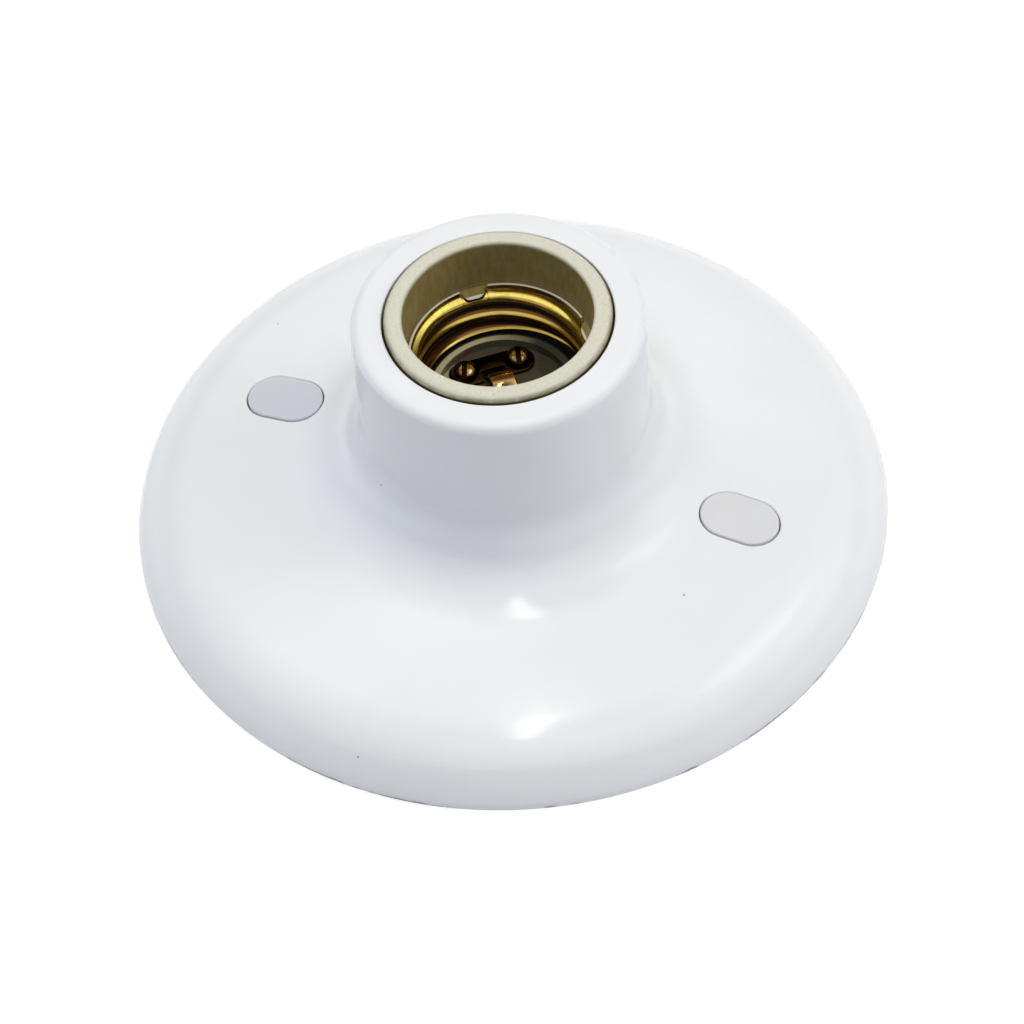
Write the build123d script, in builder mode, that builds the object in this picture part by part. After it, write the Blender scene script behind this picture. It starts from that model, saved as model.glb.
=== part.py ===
# Ceiling lamp holder: a moulded cover with a two-piece porcelain screw socket in its neck.
# Millimetres. The socket's axis is +Z, the back of the cover lies on Z = 0 and the two fixing
# slots lie along X. The porcelain and the brass are turned about Z by insert_turn.
from build123d import *

import os
from math import asin, cos, radians, sin

os.makedirs("parts", exist_ok=True)

# Cover: outside
base_diameter = 115.0
rim_land = 1.0
edge_radius = 11.3
edge_lean = 77.0
crown_slope_out = 9.0
crown_slope_in = 4.0
root_radius = 12.1
neck_height = 42.7
neck_edge_radius = 1.6

# Cover: inside
cover_wall = 2.2
neck_top_wall = 2.6
boss_reach = 6.1
boss_diameter = 7.6
boss_pilot_depth = 6.0

# Fixing wells and their caps
fixing_inset = 20.5
well_wall = 1.6
well_floor = 2.4
slot_width = 4.6
slot_length = 8.6
cap_length = 12.0
cap_width = 8.4
cap_gap = 0.2
cap_wall = 1.2
cap_roof = 1.5
cap_skirt = 2.6
cap_proud = 0.2
cap_edge_radius = 0.35
ledge_width = 0.9

# Porcelain sleeve
insert_turn = 39.0
collar_stand = 0.8
collar_wall = 2.75
collar_gap = 0.3
collar_radius = 0.9
mouth_step = 0.25
mouth_radius = 0.5
shoulder_width = 2.15
body_gap = 0.6
spigot_height = 4.15
lug_gap = 0.2
lug_count = 4

# Screw shell
thread_pitch = 3.629
thread_major = 26.6
thread_depth = 1.15
thread_start_angle = 337.0
thread_steps = 8
lip_height = 0.6
lip_blend = 0.6
sheet = 0.35
rim_drop = 7.6
shell_height = 8.95
shell_gap = 0.1
rim_gap = 0.2
notch_width = 4.2
notch_depth = 1.9
foot_width = 4.0
foot_gap = 0.5
foot_height = 1.35

# Porcelain base
block_bottom = 2.6
floor_ring_height = 1.5
floor_ring_wall = 1.3
groove_width = 1.45
groove_depth = 1.8
shell_ledge = 0.7
spigot_gap = 0.1
ear_thickness = 4.0
ear_width = 10.0
pocket_width = 14.4
pocket_wall = 6.4
pocket_roof = 15.0

# Centre contact
contact_sheet = 0.6
contact_length = 13.2
contact_depth = 4.8
contact_corner = 2.2
tongue_width = 3.6
tongue_gap = 0.15
tongue_set_back = 2.0
tongue_rise_angle = 45.0
tongue_run = 3.6
tongue_root_radius = 1.6
tongue_top_radius = 3.0
tongue_fall_angle = 40.0
contact_screw_spacing = 8.4
contact_screw_inset = 4.2

# Terminals
terminal_sheet = 1.5
terminal_length = 12.0
terminal_gap = 0.4
terminal_corner = 1.0
shell_screw_offset = 7.0
wire_screw_offset = 12.2
tip_stand = 0.6
wire_screw_room = 1.0

# Screws
screw_gap = 0.05
pass_gap = 0.3
slot_cut_width = 0.8
slot_cut_depth = 0.7
contact_screw_diameter = 2.5
contact_head_diameter = 4.0
contact_head_height = 1.6
wire_screw_diameter = 3.4
wire_head_diameter = 6.4
wire_head_height = 2.2
wire_screw_length = 5.0
insert_screw_diameter = 2.8
insert_head_diameter = 6.4
insert_head_height = 2.0
insert_screw_tip = 0.5

# Worked out from the sizes above
base_radius = base_diameter / 2
seat_radius = thread_major / 2 + sheet + shell_gap
mouth_diameter = 2 * (seat_radius + mouth_step)
collar_diameter = mouth_diameter + 2 * collar_wall
body_diameter = collar_diameter + 2 * shoulder_width
neck_radius = body_diameter / 2 + body_gap + cover_wall
sin_lean, cos_lean = sin(radians(edge_lean)), cos(radians(edge_lean))
sin_out, cos_out = sin(radians(crown_slope_out)), cos(radians(crown_slope_out))
sin_in, cos_in = sin(radians(crown_slope_in)), cos(radians(crown_slope_in))
crown_outer = base_radius - edge_radius * (sin_lean - sin_out)
crown_inner = neck_radius + root_radius * (1 - sin_in)
crown_radius = (crown_outer - crown_inner) / (sin_out - sin_in)
crown_foot = rim_land + edge_radius * (cos_out - cos_lean)
root_height = crown_foot + crown_radius * (cos_in - cos_out) + root_radius * cos_in
fixing_radius = base_radius - fixing_inset
cap_slope = asin(sin_out - (crown_outer - fixing_radius) / crown_radius)
cap_face_height = crown_foot + crown_radius * (cos(cap_slope) - cos_out) + cap_proud
cap_underside = cap_face_height - cap_roof - sin(cap_slope) * cap_length / 2
ledge_height = cap_underside - cap_skirt
mouth_length = cap_length + 2 * cap_gap
mouth_width = cap_width + 2 * cap_gap
shoulder_height = neck_height - neck_top_wall
collar_top = neck_height + collar_stand
thread_throw = thread_depth / 2
shell_inner_radius = (thread_major - thread_depth) / 2
shell_rim = neck_height - rim_drop
shell_bottom = shell_rim - shell_height
sleeve_bottom = shell_bottom - spigot_height
floor_height = shell_bottom - foot_height
spigot_radius = seat_radius - spigot_gap
ledge_inner_radius = spigot_radius - shell_ledge
floor_ring_outer_radius = ledge_inner_radius - groove_width
floor_ring_inner_radius = floor_ring_outer_radius - floor_ring_wall
contact_screw_offset = floor_ring_inner_radius - contact_screw_inset
ear_top = block_bottom + ear_thickness
boss_radius = body_diameter / 2 + boss_reach
contact_top = floor_height + contact_sheet
foot_top = floor_height + sheet
terminal_bottom = pocket_roof - terminal_sheet
insert_plane = Plane.XY.rotated((0, 0, insert_turn))


def cover_section(inset, top):
    """Half section of the cover's form, moved in by inset and closed on the axis."""
    start = Vector(base_radius - inset * sin_lean, rim_land - inset * cos_lean)
    with BuildSketch(Plane.XZ) as section:
        with BuildLine():
            foot = Line((start.X, 0), start)
            edge = JernArc(start, (-cos_lean, sin_lean), edge_radius - inset, edge_lean - crown_slope_out)
            crown = JernArc(edge @ 1, edge % 1, crown_radius - inset, crown_slope_out - crown_slope_in)
            root = JernArc(crown @ 1, crown % 1, root_radius + inset, crown_slope_in - 90)
            neck = Line(root @ 1, ((root @ 1).X, top))
            Polyline(neck @ 1, (0, top), (0, 0), foot @ 0)
        make_face()
    return section.sketch


def headed_screw(plane, head_diameter, head_height, shank_diameter, length):
    """Slotted screw whose head stands on the plane and whose shank runs back from it."""
    shank_radius = shank_diameter / 2
    with BuildPart() as screw:
        with BuildSketch(Plane(plane.origin, x_dir=plane.x_dir, z_dir=-plane.y_dir)):
            with BuildLine():
                crown = Line((0, head_height), (head_diameter / 6, head_height))
                side = TangentArc(crown @ 1, (head_diameter / 2, 0), tangent=crown % 1)
                Polyline(side @ 1, (shank_radius, 0), (shank_radius, -length), (0, -length), crown @ 0)
            make_face()
        revolve(axis=Axis(plane.origin, plane.z_dir))
        with BuildSketch(plane.offset(head_height - slot_cut_depth)):
            Rectangle(head_diameter, slot_cut_width)
        extrude(amount=slot_cut_depth, mode=Mode.SUBTRACT)
    return screw


def terminal_plate(side, screw_places):
    """Tapped plate against the roof of the pocket on one side of the block."""
    with BuildPart() as terminal:
        with BuildSketch(insert_plane.offset(terminal_bottom)):
            with Locations((0, side * (pocket_wall / 2 + terminal_gap + terminal_length / 2))):
                RectangleRounded(pocket_width - 2 * terminal_gap, terminal_length, terminal_corner)
            with Locations(*screw_places):
                Circle(contact_screw_diameter / 2 + screw_gap, mode=Mode.SUBTRACT)
            with Locations((0, side * wire_screw_offset)):
                Circle(wire_screw_diameter / 2 + screw_gap, mode=Mode.SUBTRACT)
        extrude(amount=terminal_sheet)
    return terminal


def thread_form(radius):
    """Rope-thread solid: level circles carried round the axis once per pitch, under a plain lip."""
    thread_height = shell_height - lip_height - lip_blend
    levels = round(thread_steps * thread_height / thread_pitch)
    with BuildPart() as form:
        for level in range(levels + 1):
            rise = thread_height * level / levels
            turn = insert_turn + thread_start_angle + 360 * rise / thread_pitch
            with BuildSketch(Plane.XY.offset(shell_bottom + rise)):
                with PolarLocations(thread_throw, 1, start_angle=turn, rotate=False):
                    Circle(radius)
        for height in (shell_rim - lip_height, shell_rim):
            with BuildSketch(Plane.XY.offset(height)):
                Circle(radius + thread_throw)
        loft(ruled=True)
    return form


def insert_point(x, y, height):
    """Point given by its place across the turned insert and its height."""
    return insert_plane.offset(height).from_local_coords(Vector(x, y))


def save(builder, name):
    """Label a finished piece and write it to its own file."""
    builder.part.label = name
    export_step(builder.part, f"parts/{name}.step")


contact_screw_places = [
    (-contact_screw_spacing / 2, contact_screw_offset),
    (contact_screw_spacing / 2, contact_screw_offset),
]
shell_screw_place = (0, -shell_screw_offset)

# The cover's outer form, which trims everything moulded inside it
with BuildPart() as cover_form:
    revolve(cover_section(0, neck_height), axis=Axis.Z)
    fillet(cover_form.edges().group_by(Axis.Z)[-1], neck_edge_radius)

# Moulded cover with two fixing wells and two screw bosses
with BuildPart() as base_cover:
    add(cover_form.part)
    revolve(cover_section(cover_wall, shoulder_height), axis=Axis.Z, mode=Mode.SUBTRACT)
    with BuildSketch():
        with Locations((-fixing_radius, 0), (fixing_radius, 0)):
            SlotOverall(mouth_length + 2 * well_wall, mouth_width + 2 * well_wall)
    extrude(amount=root_height)
    with BuildSketch(insert_plane.offset(ear_top)):
        with Locations((-boss_radius, 0), (boss_radius, 0)):
            Circle(boss_diameter / 2)
    extrude(amount=root_height - ear_top)
    add(cover_form.part, mode=Mode.INTERSECT)
    with BuildSketch(Plane.XY.offset(ledge_height)):
        with Locations((-fixing_radius, 0), (fixing_radius, 0)):
            SlotOverall(mouth_length, mouth_width)
    extrude(amount=neck_height, mode=Mode.SUBTRACT)
    with BuildSketch(Plane.XY.offset(well_floor)):
        with Locations((-fixing_radius, 0), (fixing_radius, 0)):
            SlotOverall(mouth_length - 2 * ledge_width, mouth_width)
    extrude(amount=ledge_height - well_floor, mode=Mode.SUBTRACT)
    with BuildSketch():
        with Locations((-fixing_radius, 0), (fixing_radius, 0)):
            SlotOverall(slot_length, slot_width)
    extrude(amount=well_floor, mode=Mode.SUBTRACT)
    with BuildSketch(insert_plane.offset(ear_top)):
        with Locations((-boss_radius, 0), (boss_radius, 0)):
            Circle(insert_screw_diameter / 2 + screw_gap)
    extrude(amount=boss_pilot_depth, mode=Mode.SUBTRACT)
    with BuildSketch(Plane.XY.offset(shoulder_height)):
        Circle(collar_diameter / 2 + collar_gap)
    extrude(amount=neck_top_wall, mode=Mode.SUBTRACT)
save(base_cover, "base_cover")

# Press-in caps: a slanted face level with the dome, over a skirt that stands on the well's ledges
for cap_name, side in (("left_screw_cap", -1), ("right_screw_cap", 1)):
    face_normal = (side * sin(cap_slope), 0, cos(cap_slope))
    with BuildPart() as screw_cap:
        with BuildSketch(Plane.XY.offset(ledge_height)):
            with Locations((side * fixing_radius, 0)):
                SlotOverall(cap_length, cap_width)
        extrude(amount=2 * (cap_face_height - ledge_height))
        split(
            bisect_by=Plane((side * fixing_radius, 0, cap_face_height), z_dir=face_normal),
            keep=Keep.BOTTOM,
        )
        fillet(screw_cap.faces().sort_by(Axis.Z)[-1].edges(), cap_edge_radius)
        with BuildSketch(Plane.XY.offset(ledge_height)):
            with Locations((side * fixing_radius, 0)):
                SlotOverall(cap_length - 2 * cap_wall, cap_width - 2 * cap_wall)
        extrude(amount=cap_skirt, mode=Mode.SUBTRACT)
    save(screw_cap, cap_name)

# Porcelain sleeve: collar, mouth and the seat of the screw shell, with lugs that stop the shell turning
with BuildPart() as porcelain_sleeve:
    with BuildSketch(Plane.XZ) as sleeve_section:
        with BuildLine():
            Polyline(
                (seat_radius, sleeve_bottom),
                (body_diameter / 2, sleeve_bottom),
                (body_diameter / 2, shoulder_height),
                (collar_diameter / 2, shoulder_height),
                (collar_diameter / 2, collar_top),
                (mouth_diameter / 2, collar_top),
                (mouth_diameter / 2, shell_rim + rim_gap),
                (seat_radius, shell_rim + rim_gap),
                close=True,
            )
        make_face()
        fillet(sleeve_section.vertices().group_by(Axis.Y)[-1].sort_by(Axis.X)[0], mouth_radius)
        fillet(sleeve_section.vertices().group_by(Axis.Y)[-1].sort_by(Axis.X)[-1], collar_radius)
    revolve(axis=Axis.Z)
    with BuildSketch(insert_plane.offset(shell_rim - notch_depth + lug_gap)):
        with PolarLocations((thread_major / 2 + mouth_diameter / 2 + sheet) / 2, lug_count):
            Rectangle(mouth_diameter / 2 + sheet - thread_major / 2, notch_width - 2 * lug_gap)
    extrude(amount=notch_depth - 2 * lug_gap - rim_gap)
save(porcelain_sleeve, "porcelain_sleeve")

# Porcelain base: the socket's floor, the ring that centres a lamp, ears and two terminal pockets
with BuildPart() as porcelain_base:
    with BuildSketch(Plane.XZ):
        with BuildLine():
            Polyline(
                (0, block_bottom),
                (body_diameter / 2, block_bottom),
                (body_diameter / 2, sleeve_bottom),
                (spigot_radius, sleeve_bottom),
                (spigot_radius, shell_bottom),
                (ledge_inner_radius, shell_bottom),
                (ledge_inner_radius, floor_height - groove_depth),
                (floor_ring_outer_radius, floor_height - groove_depth),
                (floor_ring_outer_radius, floor_height + floor_ring_height),
                (floor_ring_inner_radius, floor_height + floor_ring_height),
                (floor_ring_inner_radius, floor_height),
                (0, floor_height),
                close=True,
            )
        make_face()
    revolve(axis=Axis.Z)
    with BuildSketch(insert_plane.offset(block_bottom)):
        SlotCenterToCenter(2 * boss_radius, ear_width)
    extrude(amount=ear_thickness)
    pocket_reach = body_diameter - pocket_wall
    with BuildSketch(insert_plane.offset(block_bottom)):
        with Locations((0, -(pocket_wall + pocket_reach) / 2), (0, (pocket_wall + pocket_reach) / 2)):
            Rectangle(pocket_width, pocket_reach)
    extrude(amount=pocket_roof - block_bottom, mode=Mode.SUBTRACT)
    with BuildSketch(insert_plane.offset(floor_height)):
        with Locations((0, -body_diameter / 2)):
            Rectangle(foot_width + 2 * foot_gap, body_diameter - 2 * floor_ring_inner_radius + foot_width)
    extrude(amount=collar_top, mode=Mode.SUBTRACT)
    with BuildSketch(insert_plane.offset(pocket_roof)):
        with Locations(*contact_screw_places, shell_screw_place):
            Circle(contact_screw_diameter / 2 + pass_gap)
    extrude(amount=floor_height - pocket_roof, mode=Mode.SUBTRACT)
    with BuildSketch(insert_plane.offset(pocket_roof)):
        with Locations((0, -wire_screw_offset), (0, wire_screw_offset)):
            Circle(wire_screw_diameter / 2 + pass_gap)
    extrude(amount=wire_screw_length - terminal_sheet + wire_screw_room, mode=Mode.SUBTRACT)
    with BuildSketch(insert_plane.offset(block_bottom)):
        with Locations((-boss_radius, 0), (boss_radius, 0)):
            Circle(insert_screw_diameter / 2 + pass_gap)
    extrude(amount=ear_thickness, mode=Mode.SUBTRACT)
save(porcelain_base, "porcelain_base")

# Screw shell: a threaded tube with a plain notched lip and a foot that runs in to its screw
with BuildPart() as screw_shell:
    add(thread_form(shell_inner_radius + sheet).part)
    add(thread_form(shell_inner_radius).part, mode=Mode.SUBTRACT)
    with BuildSketch(insert_plane.offset(shell_rim - notch_depth)):
        with PolarLocations(thread_major / 2, lug_count):
            Rectangle(thread_major / 4, notch_width)
    extrude(amount=2 * notch_depth, mode=Mode.SUBTRACT)
    with BuildSketch(insert_plane.offset(shell_bottom)):
        with PolarLocations(thread_throw, 1, start_angle=thread_start_angle, rotate=False):
            Circle(shell_inner_radius + sheet)
            Circle(shell_inner_radius, mode=Mode.SUBTRACT)
        with Locations((0, -shell_inner_radius)):
            Rectangle(foot_width, shell_inner_radius, mode=Mode.INTERSECT)
    extrude(amount=floor_height - shell_bottom)
    with BuildSketch(insert_plane.offset(floor_height)):
        with Locations((0, -(thread_major / 2 + shell_screw_offset) / 2)):
            Rectangle(foot_width, thread_major / 2 - shell_screw_offset)
        with PolarLocations(thread_throw, 1, start_angle=thread_start_angle, rotate=False):
            Circle(shell_inner_radius + sheet / 2, mode=Mode.INTERSECT)
        with Locations(shell_screw_place):
            Circle(foot_width / 2)
            Circle(contact_screw_diameter / 2 + pass_gap, mode=Mode.SUBTRACT)
    extrude(amount=sheet)
save(screw_shell, "screw_shell")

# Centre contact: a plate held by two screws, with a sprung tongue lanced out of it over the axis
with BuildPart() as centre_contact:
    with BuildSketch(insert_plane.offset(floor_height)):
        with Locations((0, contact_screw_offset)):
            RectangleRounded(contact_length, contact_depth, contact_corner)
        with Locations((0, contact_screw_offset - contact_depth / 2)):
            Rectangle(tongue_width + 2 * tongue_gap, 2 * tongue_set_back, mode=Mode.SUBTRACT)
        with Locations(*contact_screw_places):
            Circle(contact_screw_diameter / 2 + pass_gap, mode=Mode.SUBTRACT)
    extrude(amount=contact_sheet)
    tongue_start = contact_screw_offset - contact_depth / 2 + tongue_set_back
    tongue_plane = Plane(
        (0, 0, floor_height + contact_sheet / 2), x_dir=-insert_plane.y_dir, z_dir=-insert_plane.x_dir
    )
    with BuildLine(tongue_plane) as tongue_line:
        bed = Line((-tongue_start - contact_depth / 4, 0), (-tongue_start, 0))
        bend = JernArc(bed @ 1, bed % 1, tongue_root_radius, tongue_rise_angle)
        climb = Line(bend @ 1, (bend @ 1) + (bend % 1) * tongue_run)
        JernArc(climb @ 1, climb % 1, tongue_top_radius, -(tongue_rise_angle + tongue_fall_angle))
    with BuildSketch(Plane(bed @ 0, x_dir=insert_plane.x_dir, z_dir=bed % 0)):
        Rectangle(tongue_width, contact_sheet)
    sweep(path=tongue_line.line)
save(centre_contact, "centre_contact")

# Screws on the socket's floor
for screw_name, (x, y) in zip(("left_contact_screw", "right_contact_screw"), contact_screw_places):
    contact_screw = headed_screw(
        Plane(insert_point(x, y, contact_top), x_dir=insert_plane.x_dir),
        contact_head_diameter,
        contact_head_height,
        contact_screw_diameter,
        contact_top - terminal_bottom + tip_stand,
    )
    save(contact_screw, screw_name)
shell_screw = headed_screw(
    Plane(insert_point(*shell_screw_place, foot_top), x_dir=insert_plane.x_dir),
    contact_head_diameter,
    contact_head_height,
    contact_screw_diameter,
    foot_top - terminal_bottom + tip_stand,
)
save(shell_screw, "shell_screw")

# Terminals at the back: a tapped plate and a binding screw on each side
save(terminal_plate(1, contact_screw_places), "live_terminal")
save(terminal_plate(-1, [shell_screw_place]), "neutral_terminal")
for screw_name, side in (("live_wire_screw", 1), ("neutral_wire_screw", -1)):
    place = insert_point(0, side * wire_screw_offset, terminal_bottom)
    wire_screw = headed_screw(
        Plane(place, x_dir=insert_plane.x_dir, z_dir=(0, 0, -1)),
        wire_head_diameter,
        wire_head_height,
        wire_screw_diameter,
        wire_screw_length,
    )
    save(wire_screw, screw_name)

# Self-tapping screws that draw the porcelain up against the top of the neck
for screw_name, side in (("front_insert_screw", -1), ("rear_insert_screw", 1)):
    place = insert_point(side * boss_radius, 0, block_bottom)
    insert_screw = headed_screw(
        Plane(place, x_dir=insert_plane.x_dir, z_dir=(0, 0, -1)),
        insert_head_diameter,
        insert_head_height,
        insert_screw_diameter,
        ear_thickness + boss_pilot_depth - insert_screw_tip,
    )
    save(insert_screw, screw_name)
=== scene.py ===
"""Looks of a ceiling lamp holder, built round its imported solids.

The cover, its caps, the porcelain sleeve, the brass shell, the centre contact and its screws are surfaces
worked out with numpy. Sizes are in millimetres in the classes below and become metres in the meshes. The
socket's axis is +Z, the back of the cover lies on Z = 0 and the two fixing wells lie along X.
"""
import logging
from collections.abc import Callable
from dataclasses import dataclass, field
from enum import Enum
from functools import cached_property, reduce
from math import cos, pi, radians, sin, tan

import bmesh
import bpy
import numpy as np
from mathutils import Matrix, Vector


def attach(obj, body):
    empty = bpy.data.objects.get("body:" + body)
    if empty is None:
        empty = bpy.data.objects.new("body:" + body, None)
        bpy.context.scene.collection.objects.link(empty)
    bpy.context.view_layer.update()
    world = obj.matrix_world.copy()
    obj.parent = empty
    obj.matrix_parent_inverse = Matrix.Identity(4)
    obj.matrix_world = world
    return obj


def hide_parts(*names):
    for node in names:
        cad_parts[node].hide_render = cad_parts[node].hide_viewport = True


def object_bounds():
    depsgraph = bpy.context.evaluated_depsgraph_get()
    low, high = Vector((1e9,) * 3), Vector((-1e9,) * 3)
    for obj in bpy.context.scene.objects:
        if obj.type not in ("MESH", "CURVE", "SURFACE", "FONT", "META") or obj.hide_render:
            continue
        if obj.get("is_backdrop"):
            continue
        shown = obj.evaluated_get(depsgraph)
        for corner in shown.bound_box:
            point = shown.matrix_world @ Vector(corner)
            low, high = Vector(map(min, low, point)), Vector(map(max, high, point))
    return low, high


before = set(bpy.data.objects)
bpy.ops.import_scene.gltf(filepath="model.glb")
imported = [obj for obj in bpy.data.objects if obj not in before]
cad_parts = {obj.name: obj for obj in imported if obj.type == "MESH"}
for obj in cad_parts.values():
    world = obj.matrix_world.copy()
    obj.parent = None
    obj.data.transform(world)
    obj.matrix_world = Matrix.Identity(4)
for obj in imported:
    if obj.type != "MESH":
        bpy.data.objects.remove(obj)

MM = 0.001
WELD, SLIVER, HAIR = 0.002 * MM, 0.0005 * MM, 1e-6
COLUMNS = 360
TURN = np.linspace(0, 2 * pi, COLUMNS, endpoint=False)
PHOTO_AZIMUTH = 24.6
COVER_DOTS = ((34.01, -16.39, 10.95, 0.17), (-2.19, -55.53, 5.15, 0.15), (-12.8, -18.11, 20.03, 0.14))
WHITE = (1.0, 1.0, 1.0)
log = logging.getLogger("lamp_holder")

Colour = tuple[float, float, float]
Point = tuple[float, float]
Socket = bpy.types.NodeSocket
Surface = dict[str, object]


class Body(Enum):
    """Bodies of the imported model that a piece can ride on."""

    HOLDER = "holder"
    LEFT_CAP = "left_cap"
    RIGHT_CAP = "right_cap"


class Slot(Enum):
    """Material slots of the record."""

    COVER = "cover_plastic"
    CAP = "cap_plastic"
    PORCELAIN = "porcelain"
    SHELL = "shell_brass"
    CONTACT = "contact_brass"
    STEEL = "plated_steel"


class Side(Enum):
    """Side of the cover that a fixing well is on, as the bearing of its centre in degrees."""

    LEFT = 180.0
    RIGHT = 0.0


def smooth_step(values: np.ndarray, low: float, high: float) -> np.ndarray:
    """Blend from 0 at low to 1 at high: t squared times (3 - 2 t) of the clipped share t.

    Args:
        values: numbers of any shape.
        low: where the blend starts.
        high: where the blend ends.

    Returns:
        Numbers from 0 to 1 in the same shape.
    """
    share = np.clip((values - low) / (high - low), 0, 1)
    return share * share * (3 - 2 * share)


def chord(radius: float, off: np.ndarray) -> np.ndarray:
    """Half chord of a circle at a distance from its centre: sqrt(radius^2 - off^2), or 0 past the circle."""
    return np.sqrt(np.maximum(radius**2 - off**2, 0))


def arc(centre: Point, radius: float, start: float, end: float, count: int) -> np.ndarray:
    """Arc in the (radius, height) plane: centre plus radius times (cos, sin) of the angle.

    Args:
        centre: the arc's centre.
        radius: its radius.
        start: first angle in degrees, from the outward direction.
        end: last angle in degrees.
        count: number of points.

    Returns:
        Array of count rows of (radius, height).
    """
    angle = np.radians(np.linspace(start, end, count))
    return np.stack([centre[0] + radius * np.cos(angle), centre[1] + radius * np.sin(angle)], axis=-1)


def joined(*parts: np.ndarray) -> np.ndarray:
    """Parts of a profile end to end, with each shared point kept once."""
    return np.concatenate([parts[0], *(part[1:] for part in parts[1:])])


def run(*corners: Point, count: int = 2, tuck: float = 0.0) -> np.ndarray:
    """Straight runs from corner to corner in the (radius, height) plane.

    Args:
        corners: points of (radius, height).
        count: number of evenly spaced points on each run.
        tuck: distance from a run's ends of extra points that keep it flat, or 0 for none.

    Returns:
        Rows of (radius, height).
    """
    parts = []
    for first, last in zip(corners, corners[1:]):
        a, b = np.array(first, float), np.array(last, float)
        share, length = np.linspace(0, 1, count), float(np.hypot(*(b - a)))
        if tuck and length > 2 * tuck:
            share = np.unique(np.concatenate([share, [tuck / length, 1 - tuck / length]]))
        parts.append(a + (b - a) * share[:, None])
    return joined(*parts)


def turned(x: np.ndarray, y: np.ndarray, z: np.ndarray, bearing: float) -> np.ndarray:
    """Points turned about the axis by a bearing b: (x cos b - y sin b, x sin b + y cos b, z).

    Args:
        x: distances along the bearing.
        y: distances to its left.
        z: heights.
        bearing: the bearing in degrees.

    Returns:
        Points of (x, y, z) in the shape that the arrays give together.
    """
    b = radians(bearing)
    return np.stack(np.broadcast_arrays(x * cos(b) - y * sin(b), x * sin(b) + y * cos(b), z), axis=-1)


def revolved(profile: np.ndarray) -> np.ndarray:
    """Grid of (r cos t, r sin t, z): every (r, z) row of a profile carried through every angle t."""
    radius, height = profile[:, :1], profile[:, 1:]
    return np.stack(np.broadcast_arrays(radius * np.cos(TURN), radius * np.sin(TURN), height), axis=-1)


class Skin:
    """Patches of one piece, gathered as arrays and welded into one closed mesh."""

    EDGE_SHARE = 0.35

    def __init__(self) -> None:
        """Start with no patches."""
        self.points: list[np.ndarray] = []
        self.quads: list[np.ndarray] = []
        self.count = 0

    def grid(self, points: np.ndarray, keep: np.ndarray | None = None) -> None:
        """Add the quads between neighbouring points of a closed grid; they face along column x row.

        Args:
            points: grid of points, rows by columns by 3, whose last column meets the first.
            keep: mask of the quads to keep, or None for all.
        """
        rows, columns = points.shape[:2]
        index = np.arange(rows * columns).reshape(rows, columns) + self.count
        index = np.concatenate([index, index[:, :1]], axis=1)
        quads = np.stack([index[:-1, :-1], index[:-1, 1:], index[1:, 1:], index[1:, :-1]], axis=-1)
        self.quads.append(quads[keep] if keep is not None else quads.reshape(-1, 4))
        self.points.append(points.reshape(-1, 3))
        self.count += rows * columns

    def strip(
        self, path: np.ndarray, low: np.ndarray, high: np.ndarray, sheet: float, bearing: float
    ) -> None:
        """Carry a round-edged flat section along a path that lies in an upright plane through the axis.

        Each ring is the path's point plus the section's across part along the plane's normal and its
        through part along the path's own normal; the ends are closed on the section's middle.

        Args:
            path: rows of (distance from the axis, height).
            low: where the strip starts across the plane, for each row.
            high: where it ends across the plane.
            sheet: its thickness.
            bearing: the plane's direction in degrees.
        """
        ahead = np.gradient(path, axis=0)
        ahead /= np.linalg.norm(ahead, axis=1, keepdims=True)
        edge = sheet * self.EDGE_SHARE
        corner = np.repeat(np.array([(1, 1), (-1, 1), (-1, -1), (1, -1)]), 4, axis=0)
        roll = np.radians(np.add.outer(np.arange(4) * 90.0, np.linspace(0, 90, 4)).ravel())
        across = np.where(corner[:, 0] > 0, high[:, None] - edge, low[:, None] + edge) + edge * np.cos(roll)
        through = corner[:, 1] * (sheet / 2 - edge) + edge * np.sin(roll)
        along, height = path[:, :1] - ahead[:, 1:] * through, path[:, 1:] + ahead[:, :1] * through
        points = turned(along, across, height, bearing)
        ends = np.broadcast_to(points[[0, -1]].mean(axis=1, keepdims=True), (2, *points.shape[1:]))
        points = np.concatenate([ends[:1], points, ends[1:]])
        facing = np.cross(points[2, 1] - points[2, 0], points[3, 0] - points[2, 0])
        outward = points[2, 0] - points[2].mean(axis=0)
        self.grid(points if facing @ outward > 0 else points[::-1])

    def piece(self, name: str, crease: float = 32.0) -> bpy.types.Object:
        """Weld the patches into one mesh in metres and put it in the scene.

        Args:
            name: the piece's name.
            crease: edges sharper than this many degrees stay sharp.

        Returns:
            The new object, at the origin.
        """
        points, quads = np.concatenate(self.points) * MM, np.concatenate(self.quads)
        mesh = bpy.data.meshes.new(name)
        mesh.vertices.add(len(points))
        mesh.vertices.foreach_set("co", points.astype(np.float32).ravel())
        mesh.loops.add(quads.size)
        mesh.loops.foreach_set("vertex_index", quads.astype(np.int32).ravel())
        mesh.polygons.add(len(quads))
        mesh.polygons.foreach_set("loop_start", np.arange(0, quads.size, 4, dtype=np.int32))
        mesh.update(calc_edges=True)
        solid = bmesh.new()
        solid.from_mesh(mesh)
        used = {vertex for face in solid.faces for vertex in face.verts}
        bmesh.ops.delete(solid, geom=[v for v in solid.verts if v not in used], context="VERTS")
        bmesh.ops.remove_doubles(solid, verts=solid.verts, dist=WELD)
        bmesh.ops.dissolve_degenerate(solid, dist=SLIVER, edges=solid.edges)
        loose = sum(not edge.is_manifold for edge in solid.edges)
        solid.to_mesh(mesh)
        solid.free()
        mesh.shade_smooth()
        mesh.set_sharp_from_angle(angle=radians(crease))
        piece = bpy.data.objects.new(name, mesh)
        bpy.context.scene.collection.objects.link(piece)
        log.info("%s: %d faces, %d open edges", name, len(mesh.polygons), loose)
        return piece


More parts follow.
